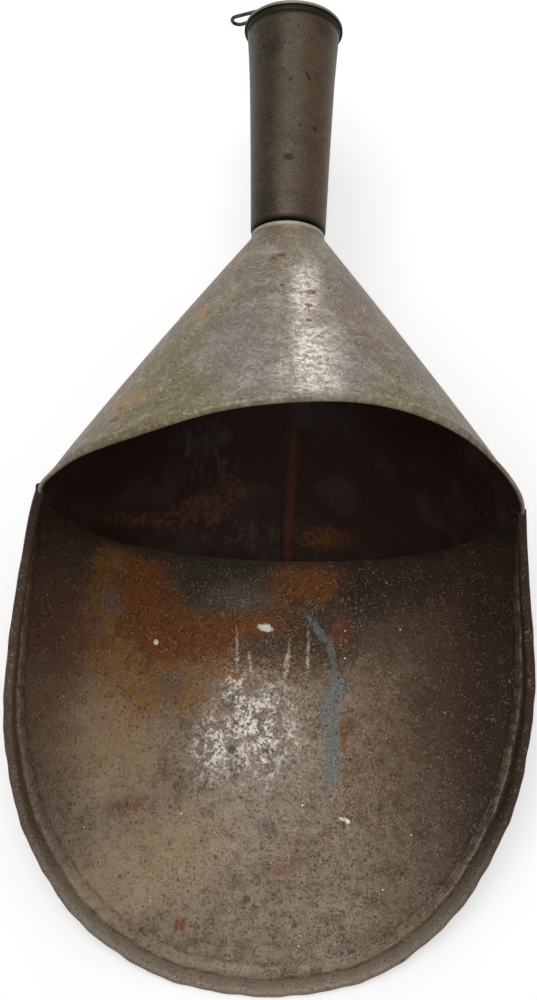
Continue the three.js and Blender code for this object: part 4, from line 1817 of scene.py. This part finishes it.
    def pits(self, bench: Bench, mark: Marker, grit: Socket) -> Socket:
        """Lays the dark pits.

        Args:
            bench: The finish so far.
            mark: Finds the patches' places on the pan.
            grit: The pattern of the fine specks.

        Returns:
            Where the pits are.
        """
        large = bench.flecks(5.2, size=0.22, share=0.3, seed=2)
        holes = bench.sum("MAXIMUM", large, bench.flecks(2.4, size=0.3, share=0.25, seed=7))
        crowded = bench.blots(mark.blots(
            (130, 706, (13, 9), -20, 1.9, 8, 0.6),
            (84, 580, (9, 13), 0, 1.9, 8, 0.6),
            (60, 540, (10, 9), 0, 1.9, 8, 0.6),
            (180, 760, (9, 16), 0, 2.0, 8, 0.6),
            (232, 712, (9, 9), 0, 2.0, 8, 0.6),
        ))
        crowd = bench.sum("MULTIPLY", crowded, bench.flecks(2.1, size=0.42, share=0.6, seed=31))
        lone = bench.blots([
            mark.blot(x, y, (size, size), 0, 1.2, 3, 0.3)
            for x, y, size in ((247, 899, 1.4), (294, 926, 1.1), (341, 928, 1.1), (262, 848, 0.9),
                               (230, 702, 3.0), (232, 750, 2.0))
        ])
        holes = bench.sum("MAXIMUM", holes, bench.sum("MAXIMUM", crowd, lone))
        holes = bench.sum("MULTIPLY", holes, bench.ramp(grit, 0.36, 0.48, 0.4, 1))
        bench.coat(holes, self.black, 0.6)
        return holes

    def inside(self, mark: Marker) -> bpy.types.Material:
        """Makes the finish of the hollow side and the rolled rim.

        Args:
            mark: Finds the patches' places on the pan.

        Returns:
            The material.
        """
        bench = Bench("pan_inside", self.ground)
        self.shades(bench, mark)
        self.rust(bench, mark)
        metal = self.worn(bench, mark)
        rolled = bench.rim(*self.roll, 1, 0)
        # Painted shade: both side walls darken towards their tops, umber on the left and dark on the right.
        bench.coat(bench.slope(0, -72, -96), self.umber, 0.55)
        bench.coat(bench.slope(0, 76, 98), self.dark, 0.6)
        streaks = bench.ramp(bench.noise(5, detail=3, rough=0.6, seed=47), 0.42, 0.58, 0.2, 1)
        low = bench.slope(1, -110, -170)
        bench.coat(bench.sum("MULTIPLY", rolled, low), self.grey, 0.6)
        # Bands along the rim: painted shade in the crease by the hem and at the ridge's inner foot, and a
        # painted highlight on the ridge's top and edges, partly burnished wear.
        for middle, reach, colour, strength in (
            (8.0, 2.6, self.pale, 0.2), (6.6, 0.6, self.sand, 0.45), (9.8, 0.6, self.sand, 0.45),
            (5.0, 0.7, self.black, 0.45), (11.4, 1.2, self.dark, 0.4),
        ):
            bench.coat(bench.sum("MULTIPLY", bench.band(middle, reach), streaks), colour, strength)
        # Painted shade on the outer side of the rolled rim.
        bench.coat(bench.rim(0.0, -2.4), self.dark, 0.5)
        grit, patch = Patina().specks(bench, self.fawn, self.dark)
        holes = self.pits(bench, mark, grit)
        glints = bench.sum("MULTIPLY", patch, bench.flecks(2.3, size=0.24, share=0.13, seed=17))
        bench.coat(glints, self.sand, 0.38)
        # Painted shadow in front of the cone's skirt.
        bench.coat(bench.slope(1, *self.seam_shadow), self.black, 0.55)
        # Painted shade at the rim in the back corners, under the hood.
        corner = bench.sum("MULTIPLY", bench.slope(1, *self.corner), bench.rim(*self.corner_way))
        bench.coat(corner, self.dark, 0.75)
        bench.coat(bench.flecks(6, size=0.09, share=0.3, seed=13), self.white, 0.75)
        waves = bench.noise(5, detail=4, rough=0.7, seed=23)
        relief = bench.sum("SUBTRACT", bench.span(0.4, grit, waves), holes)
        rough = bench.span(metal, bench.ramp(grit, 0.35, 0.65, 0.68, 0.5), 0.42)
        return bench.finish(bench.span(metal, 0.35, 0.7), rough, relief, 0.2)

    def outside(self) -> bpy.types.Material:
        """Makes the finish of the underside.

        Returns:
            The material.
        """
        bench = Bench("pan_outside", self.ground)
        rubbed = bench.ramp(bench.noise(24, detail=6, rough=0.65, seed=41, stretch=(1, 3, 1)), 0.5, 0.64)
        bench.coat(bench.ramp(bench.noise(34, detail=5, rough=0.62, seed=31), 0.44, 0.6), self.umber, 0.7)
        bench.coat(bench.ramp(bench.noise(15, detail=5, rough=0.7, seed=37), 0.54, 0.66), self.orange, 0.5)
        bench.coat(rubbed, self.grey, 0.55)
        grit, _ = Patina(seed=29).specks(bench, self.fawn, self.dark)
        large = bench.flecks(4.6, size=0.26, share=0.3, seed=5)
        holes = bench.sum("MAXIMUM", large, bench.flecks(2.2, size=0.3, share=0.25, seed=6))
        bench.coat(holes, self.black, 0.6)
        bench.coat(bench.flecks(7, size=0.08, share=0.3, seed=19), self.white, 0.6)
        rough = bench.ramp(grit, 0.35, 0.65, 0.66, 0.48)
        return bench.finish(bench.span(rubbed, 0.35, 0.6), rough, bench.sum("SUBTRACT", grit, holes), 0.14)


@dataclass(frozen=True)
class ConeFinish:
    """Dull grey tinned sheet outside, with a painted highlight down its top; nearly black inside, dark rust
    with painted shade.
    """

    ground: Colour = tone(110, 100, 86)
    olive: Colour = tone(106, 96, 56)
    blue: Colour = tone(118, 115, 110)
    bright: Colour = tone(196, 191, 180)
    brown: Colour = tone(104, 84, 64)
    dark: Colour = tone(52, 42, 33)
    rosy: Colour = tone(118, 98, 84)
    rust: Colour = tone(100, 48, 30)
    ochre: Colour = tone(146, 112, 62)
    black: Colour = tone(14, 8, 6)
    # Near-black ground under the hood: dark rust with painted shade.
    dark_rust_and_shade: Colour = tone(34, 20, 14)
    soot_red: Colour = tone(66, 34, 20)
    soot_grey: Colour = tone(52, 44, 42)
    soot_rust: Colour = tone(88, 54, 24)
    # Where the cone turns browner towards the neck.
    neck_browning: tuple[float, float] = (104, 112)
    # Where the painted highlight on the collar's edge lies.
    collar_edge: tuple[float, float] = (113.4, 114.6)

    def outside(self, mark: Marker) -> bpy.types.Material:
        """Makes the finish of the outer face and the rolled edge.

        Args:
            mark: Finds the spots' places on the cone.

        Returns:
            The material.
        """
        bench = Bench("cone_outside", self.ground)
        scuffs = bench.noise(2.4, detail=4, rough=0.75, seed=67)
        bench.coat(bench.blots(mark.blots(
            (165, 395, (28, 24), 0, 1.6, 20, 0.6),
            (198, 325, (10, 18), -38, 1.9, 8, 0.6),
            (400, 400, (18, 14), 0, 1.9, 8, 0.6),
        )), self.olive, 0.85)
        bench.coat(bench.blots(mark.blots(
            (245, 355, (17, 24), 0, 1.6, 20, 0.6),
            (352, 375, (9, 13), 0, 1.6, 8, 0.6),
        )), self.blue, 0.6)
        bench.coat(bench.blots(mark.blots(
            (240, 268, (10, 12), -38, 1.6, 8, 0.6),
            (360, 320, (14, 24), 30, 1.6, 20, 0.6),
        )), self.rosy, 0.5)
        bench.coat(bench.slope(0, 52, 84), self.brown, 0.6)
        bench.coat(bench.slope(0, -46, -74), self.brown, 0.35)
        Patina(seed=61).stain(bench, self.bright, self.brown, 0.2)
        bench.coat(bench.blots(mark.blots(
            (202, 312, (3.5, 5.5), -30, 2.6, 3, 0.6),
            (289, 234, (1.6, 2.2), 0, 1.6, 3, 0.5),
            (130, 400, (8, 4), 20, 2.6, 3, 0.7),
        )), self.ochre, 0.55)
        # Painted highlight: a bright band down the top of the cone, where more bare metal also shows and the
        # sheet is less rough.
        worn = bench.blots(mark.blots(
            (306, 290, (5.5, 20), -6, 1.8, 8, 0.6),
            (316, 358, (9.5, 20), -6, 1.8, 8, 0.6),
        ))
        worn = bench.sum("MULTIPLY", worn, bench.ramp(scuffs, 0.42, 0.58, 0.25, 1))
        bench.coat(worn, self.bright, 0.6)
        grit, _ = Patina(light=0.28, dark=0.4, seed=57).specks(bench, self.bright, self.dark)
        spots = bench.blots([
            mark.blot(x, y, (size, size * 0.8), 0, 1.4, 3, 0.3)
            for x, y, size in ((281, 255, 1.7), (274, 258, 1.3), (312, 292, 1.9), (282, 285, 1.1),
                               (309, 305, 1.3), (309, 320, 1.1), (114, 420, 1.9), (120, 409, 1.0))
        ])
        bench.coat(spots, self.rust, 0.85)
        pits = bench.flecks(4.4, size=0.17, share=0.3, seed=9)
        pits = bench.sum("MAXIMUM", pits, bench.sum("MULTIPLY", spots, 0.6))
        bench.coat(bench.flecks(4.4, size=0.17, share=0.3, seed=9), self.dark, 0.5)
        bench.coat(bench.flecks(8, size=0.07, share=0.3, seed=43), self.bright, 0.9)
        # Browner towards the neck.
        bench.coat(bench.slope(1, *self.neck_browning), self.brown, 0.35)
        # Painted highlight on the collar's edge.
        bench.coat(bench.slope(1, *self.collar_edge), self.bright, 0.35)
        rough = bench.span(worn, bench.ramp(grit, 0.35, 0.65, 0.6, 0.46), 0.36)
        return bench.finish(bench.span(worn, 0.55, 0.7), rough, bench.sum("SUBTRACT", grit, pits), 0.16)

    def inside(self, mark: Marker) -> bpy.types.Material:
        """Makes the finish under the hood.

        Args:
            mark: Finds the patches' places on the cone.

        Returns:
            The material.
        """
        # Painted shade: the hood's inside starts from a near-black ground.
        bench = Bench("cone_inside", self.dark_rust_and_shade)
        bench.coat(bench.ramp(bench.noise(24, detail=5, rough=0.6, seed=73), 0.48, 0.64), self.soot_grey, 0.5)
        bench.coat(bench.blots(mark.blots(
            (291, 490, (2.0, 30), 0, 1.6, 3, 0.5),
            (330, 540, (10, 4), 0, 2.2, 3, 0.6),
        )), self.soot_red, 0.8)
        bench.coat(bench.blots(mark.blots((284.5, 490, (0.5, 34), 0, 0.9, 8, 0.4))), self.black, 0.9)
        broken = bench.ramp(bench.noise(2.6, detail=4, rough=0.7, seed=75), 0.44, 0.58, 0.15, 1)
        rust = bench.blots(mark.blots(
            (200, 510, (15, 6), 25, 3.6, 8, 0.6),
            (236, 490, (6, 5), 0, 3.2, 3, 0.6),
            (150, 520, (16, 2.4), 10, 2.8, 3, 0.6),
            (318, 536, (8, 4), 0, 3.0, 3, 0.6),
        ))
        bench.coat(bench.sum("MULTIPLY", rust, broken), self.soot_rust, 0.75)
        # Painted sheen: a faint blue-grey haze in the middle of the hood's inside.
        haze = bench.ramp(bench.noise(3.4, detail=4, rough=0.7, seed=77, stretch=(1, 3, 3)), 0.5, 0.64)
        bench.coat(bench.sum("MULTIPLY", haze, bench.blots(mark.blots(
            (205, 462, (12, 18), 0, 1.8, 8, 0.6),
            (240, 530, (24, 7), 0, 1.8, 8, 0.6),
        ))), self.blue, 0.14)
        spots = bench.flecks(3.2, size=0.36, share=0.5, seed=79)
        spots = bench.sum("MULTIPLY", spots, bench.blots(mark.blots(
            (205, 500, (22, 18), 0, 1.8, 8, 0.6),
            (345, 520, (12, 12), 0, 1.8, 8, 0.6),
        )))
        bench.coat(spots, self.black, 0.85)
        grit, _ = Patina(light=0.35, dark=0.6, seed=71).specks(bench, self.soot_red, self.black)
        bench.coat(bench.flecks(8, size=0.07, share=0.3, seed=53), self.blue, 0.7)
        pits = bench.flecks(3.6, size=0.28, share=0.35, seed=15)
        return bench.finish(0.35, bench.ramp(grit, 0.35, 0.65, 0.55, 0.7),
                            bench.sum("SUBTRACT", grit, pits), 0.14, gloss=0.12)


@dataclass(frozen=True)
class HandleFinish:
    """Tinned sheet rubbed dark by hands, brown to the right, with painted shade in its two hollows and down
    its left side, and painted reflections along its edges.
    """

    ground: Colour = tone(80, 70, 57)
    shade: Colour = tone(42, 32, 22)
    brown: Colour = tone(74, 52, 34)
    edge: Colour = tone(84, 80, 64)
    bright: Colour = tone(146, 138, 120)
    hollow_shade: Colour = tone(29, 29, 18)
    dark: Colour = tone(34, 26, 20)
    rust: Colour = tone(90, 70, 54)
    # Where the painted shade of the cove and the neck groove, and the painted highlight on the cap's bead,
    # lie along the handle.
    cove: tuple[float, float] = (210.6, 212.4)
    neck: tuple[float, float] = (119.4, 118.2)
    lip: tuple[float, float] = (214.9, 215.4)
    bead: tuple[float, float] = (19.8, 0.8)

    def outside(self, mark: Marker) -> bpy.types.Material:
        """Makes the finish of the tube, the cap and the strap.

        Args:
            mark: Finds the spots' places on the tube.

        Returns:
            The material.
        """
        bench = Bench("handle_outside", self.ground)
        # Painted light across the tube: a lighter middle strip as painted highlight, painted shade down the
        # left, browner and darker to the right as brown stain with painted shade, and painted reflections
        # along both edges.
        bench.coat(bench.slope(0, 1, 9), self.brown, 0.8)
        bench.coat(bench.slope(0, -3, -11), self.shade, 0.75)
        bench.coat(bench.slope(0, -15, -18), self.edge, 0.4)
        bench.coat(bench.slope(0, 14, 17), self.edge, 0.3)
        Patina(seed=85).stain(bench, self.edge, self.shade, 0.18)
        bench.coat(bench.blots(mark.blots(
            (264, 205, (5, 6), 0, 1.8, 8, 0.6),
            (272, 45, (4, 5), 0, 1.8, 8, 0.6),
            (325, 30, (4, 5), 0, 1.8, 8, 0.6),
        )), self.dark, 0.6)
        bench.coat(bench.blots(mark.blots(
            (299, 127, (1.6, 1.6), 0, 2.0, 3, 0.4),
            (291, 185, (1.6, 1.0), 0, 2.4, 3, 0.5),
            (276, 177, (1.4, 0.8), 0, 2.4, 3, 0.5),
            (333, 20, (1.2, 1.4), 0, 2.0, 3, 0.4),
        )), self.rust, 0.7)
        grit, _ = Patina(light=0.12, dark=0.35, seed=87).specks(bench, self.bright, self.dark)
        pits = bench.blots([
            mark.blot(x, y, (wide, long), turn, 1.4, 3, 0.4)
            for x, y, wide, long, turn in (
                (308, 76, 0.7, 3.0, 25), (291, 79, 1.0, 1.0, 0), (289, 157, 2.2, 1.6, 0),
                (264, 47, 0.9, 1.3, 0), (300, 125, 0.8, 0.8, 0), (271, 117, 0.9, 0.7, 0),
                (315, 129, 1.0, 1.4, 0),
            )
        ])
        pits = bench.sum("MAXIMUM", pits, bench.flecks(6, size=0.16, share=0.3, seed=29))
        bench.coat(pits, self.dark, 0.75)
        bench.coat(bench.flecks(5.5, size=0.07, share=0.22, seed=37), self.bright, 0.8)
        # Painted shade in the cove under the cap's bead and in the groove at the neck.
        hollow = bench.sum("MULTIPLY", bench.slope(1, *self.cove), bench.slope(1, *reversed(self.lip)))
        bench.coat(hollow, self.hollow_shade, 0.9)
        bench.coat(bench.slope(1, *self.neck), self.hollow_shade, 0.8)
        # Painted highlight on the top of the cap's bead.
        bead = bench.sum("MULTIPLY", bench.slope(1, *self.lip), bench.outer(*self.bead))
        bench.coat(bead, self.bright, 0.7)
        rough = bench.ramp(grit, 0.35, 0.65, 0.54, 0.44)
        return bench.finish(0.6, rough, bench.sum("SUBTRACT", grit, pits), 0.12)


@dataclass(frozen=True)
class TrimFinish:
    """A small plain metal: the wires, and the stained solder."""

    name: str
    ground: Colour
    stain: Colour
    metal: float
    rough: float

    def make(self) -> bpy.types.Material:
        """Makes the material.

        Returns:
            The material.
        """
        bench = Bench(self.name, self.ground)
        grain = bench.noise(1.2, detail=4, rough=0.7, seed=91)
        bench.coat(bench.ramp(bench.noise(6, detail=4, rough=0.6, seed=93), 0.4, 0.62), self.stain, 0.7)
        bench.coat(bench.ramp(grain, 0.5, 0.34), self.stain, 0.5)
        return bench.finish(self.metal, bench.ramp(grain, 0.35, 0.65, self.rough + 0.1, self.rough), grain,
                            0.08)


@dataclass(frozen=True)
class Lamp:
    """A soft box: a square or oblong lamp aimed at a place."""

    name: str
    place: tuple[float, float, float]
    aim: tuple[float, float, float]
    size: tuple[float, float]
    watts: float

    def hang(self) -> None:
        """Puts the lamp in the scene."""
        light = bpy.data.lights.new(self.name, "AREA")
        light.shape = "RECTANGLE"
        light.size, light.size_y = self.size
        light.energy = self.watts
        lamp = bpy.data.objects.new(self.name, light)
        lamp.location = self.place
        way = Vector(self.aim) - Vector(self.place)
        lamp.rotation_euler = way.to_track_quat("-Z", "Y").to_euler()
        bpy.context.scene.collection.objects.link(lamp)


@dataclass(frozen=True)
class Studio:
    """The pale floor, the even light round it and the soft boxes."""

    floor_reach: float = 6.0
    floor_shade: Colour = (0.84, 0.84, 0.84)
    floor_glow: float = 0.3
    ambient: float = 0.45
    lamps: tuple[Lamp, ...] = (
        Lamp("overhead", (-0.25, 0.15, 1.6), (0.0, 0.08, 0.05), (1.1, 1.1), 12.0),
        Lamp("behind", (0.12, 1.5, 0.42), (0.0, 0.2, 0.12), (0.3, 0.7), 3.8),
    )

    def floor(self) -> bpy.types.Object:
        """Makes the floor, which stays white but keeps the scoop's shadow.

        Returns:
            The floor.
        """
        reach = self.floor_reach
        mesh = bpy.data.meshes.new("floor")
        corners = [(-reach, -reach, 0), (reach, -reach, 0), (reach, reach, 0), (-reach, reach, 0)]
        mesh.from_pydata(corners, [], [(0, 1, 2, 3)])
        piece = bpy.data.objects.new("floor", mesh)
        bpy.context.scene.collection.objects.link(piece)
        bench = Bench("floor_paper", self.floor_shade)
        bench.coat(bench.ramp(bench.noise(180, detail=2, rough=0.5, seed=1), 0.3, 0.7), self.floor_shade)
        glow = self.seen(bench.tree)
        bench.feed(bench.shader.inputs["Emission Strength"], bench.span(glow, 0.0, self.floor_glow))
        bench.shader.inputs["Emission Color"].default_value = (1, 1, 1, 1)
        bench.finish(0.0, 0.9, bench.noise(3, detail=2, rough=0.5, seed=2), 0.02)
        return dressed(piece, bench.material)

    @staticmethod
    def seen(tree: bpy.types.NodeTree) -> Socket:
        """Marks what the camera sees straight, mirrored or through glass.

        Args:
            tree: The tree that the mark is used in.

        Returns:
            A value that is 1 there.
        """
        path = put(tree, "ShaderNodeLightPath")
        joined = path.outputs["Is Camera Ray"]
        for ray in ("Is Glossy Ray", "Is Transmission Ray"):
            either = put(tree, "ShaderNodeMath", operation="MAXIMUM")
            tree.links.new(joined, either.inputs[0])
            tree.links.new(path.outputs[ray], either.inputs[1])
            joined = either.outputs[0]
        return joined

    def sky(self) -> None:
        """Makes the white surroundings, which light the scoop only softly."""
        world = bpy.data.worlds.new("surroundings")
        bpy.context.scene.world = world
        world.use_nodes = True
        tree = world.node_tree
        tree.nodes.clear()
        glow = put(tree, "ShaderNodeBackground")
        strength = put(tree, "ShaderNodeMix", data_type="FLOAT")
        tree.links.new(self.seen(tree), strength.inputs[0])
        strength.inputs[2].default_value = self.ambient
        strength.inputs[3].default_value = 1.0
        tree.links.new(strength.outputs[0], glow.inputs["Strength"])
        glow.inputs["Color"].default_value = (1, 1, 1, 1)
        output = put(tree, "ShaderNodeOutputWorld")
        tree.links.new(glow.outputs[0], output.inputs[0])

    def build(self) -> None:
        """Sets up the floor, the surroundings, the lamps and the camera."""
        self.floor()
        self.sky()
        for lamp in self.lamps:
            lamp.hang()
        Viewpoint().build()
        bpy.context.scene.view_settings.view_transform = "Standard"


@dataclass
class Scoop:
    """The whole scoop: its pieces, what they stand for and their finishes."""

    viewpoint: Viewpoint
    pan: Pan
    cone: Cone
    handle: Handle
    hanger: Hanger
    solder: Solder

    def settle(self, piece: bpy.types.Object, body: str, slot: str, *nodes: str) -> None:
        """Ties a piece to its body and hides the solids that it replaces.

        Args:
            piece: The piece.
            body: The body that it moves with.
            slot: The name of a material slot; not used.
            *nodes: The solids that it stands for.
        """
        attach(piece, body)
        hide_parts(*nodes)
        LOG.info("%s stands for %s", piece.name, ", ".join(nodes))

    def build(self, nodes: dict[str, bpy.types.Object]) -> None:
        """Builds and dresses every piece.

        Args:
            nodes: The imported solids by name.
        """
        wire = TrimFinish("wire_old", tone(84, 79, 64), tone(50, 43, 31), 0.7, 0.42).make()
        tin = TrimFinish("solder_stained", tone(112, 102, 88), tone(58, 42, 30), 0.6, 0.5).make()
        # Dark solder with painted shade, for the lumps in the hood's corners and the seam under the hood.
        dark_and_shaded = TrimFinish("solder_grimy", tone(48, 28, 18), tone(22, 12, 8), 0.3, 0.6).make()
        mossy = TrimFinish("solder_mossy", tone(84, 78, 62), tone(44, 40, 30), 0.4, 0.6).make()
        pan = self.pan.build()
        look = Marker.on(pan, self.viewpoint)
        dressed(pan, PanFinish().inside(look), PanFinish().outside())
        self.settle(pan, SCOOP, "pan_steel", "pan_sheet")
        self.settle(dressed(self.pan.wire(), wire), SCOOP, "wire_steel", "pan_rim_wire")

        cone, hood_wire = self.cone.build(self.pan)
        look = Marker.on(cone, self.viewpoint)
        dressed(cone, ConeFinish().inside(look), ConeFinish().outside(look))
        self.settle(cone, SCOOP, "cone_steel", "cone_sheet")
        self.settle(dressed(hood_wire, wire), SCOOP, "wire_steel", "hood_rim_wire")

        tube, cap = self.handle.build()
        rubbed = HandleFinish().outside(Marker.on(tube, self.viewpoint))
        self.settle(dressed(tube, rubbed, rubbed), SCOOP, "handle_steel", "handle_tube")
        self.settle(dressed(cap, rubbed), SCOOP, "handle_steel", "handle_cap")
        self.settle(dressed(self.hanger.strap(), rubbed), SCOOP, "handle_steel", "loop_strap")
        self.settle(dressed(self.hanger.loop(), wire), LOOP, "wire_steel", "hang_loop")

        for name, side in (("corner_solder_left", -1), ("corner_solder_right", 1)):
            lump = self.solder.lump(name.replace("solder", "lump"), side)
            self.settle(dressed(lump, dark_and_shaded), SCOOP, "solder", name)
        self.settle(dressed(self.solder.seam(self.cone), tin), SCOOP, "solder", "pan_seam_solder")
        self.settle(dressed(self.solder.neck(), mossy), SCOOP, "solder", "neck_solder")

        dressed(nodes["cone_seam_solder"], dark_and_shaded)
        for name in ("handle_seam_solder", "strap_solder_outer", "strap_solder_inner"):
            dressed(nodes[name], tin)


def main() -> None:
    """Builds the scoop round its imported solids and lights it."""
    logging.basicConfig(level=logging.INFO, format="%(message)s")
    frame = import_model()
    Scoop(Viewpoint(), Pan(), Cone(), Handle(), Hanger(), Solder()).build(frame["nodes"])
    Studio().build()


if __name__ == "__main__":
    main()
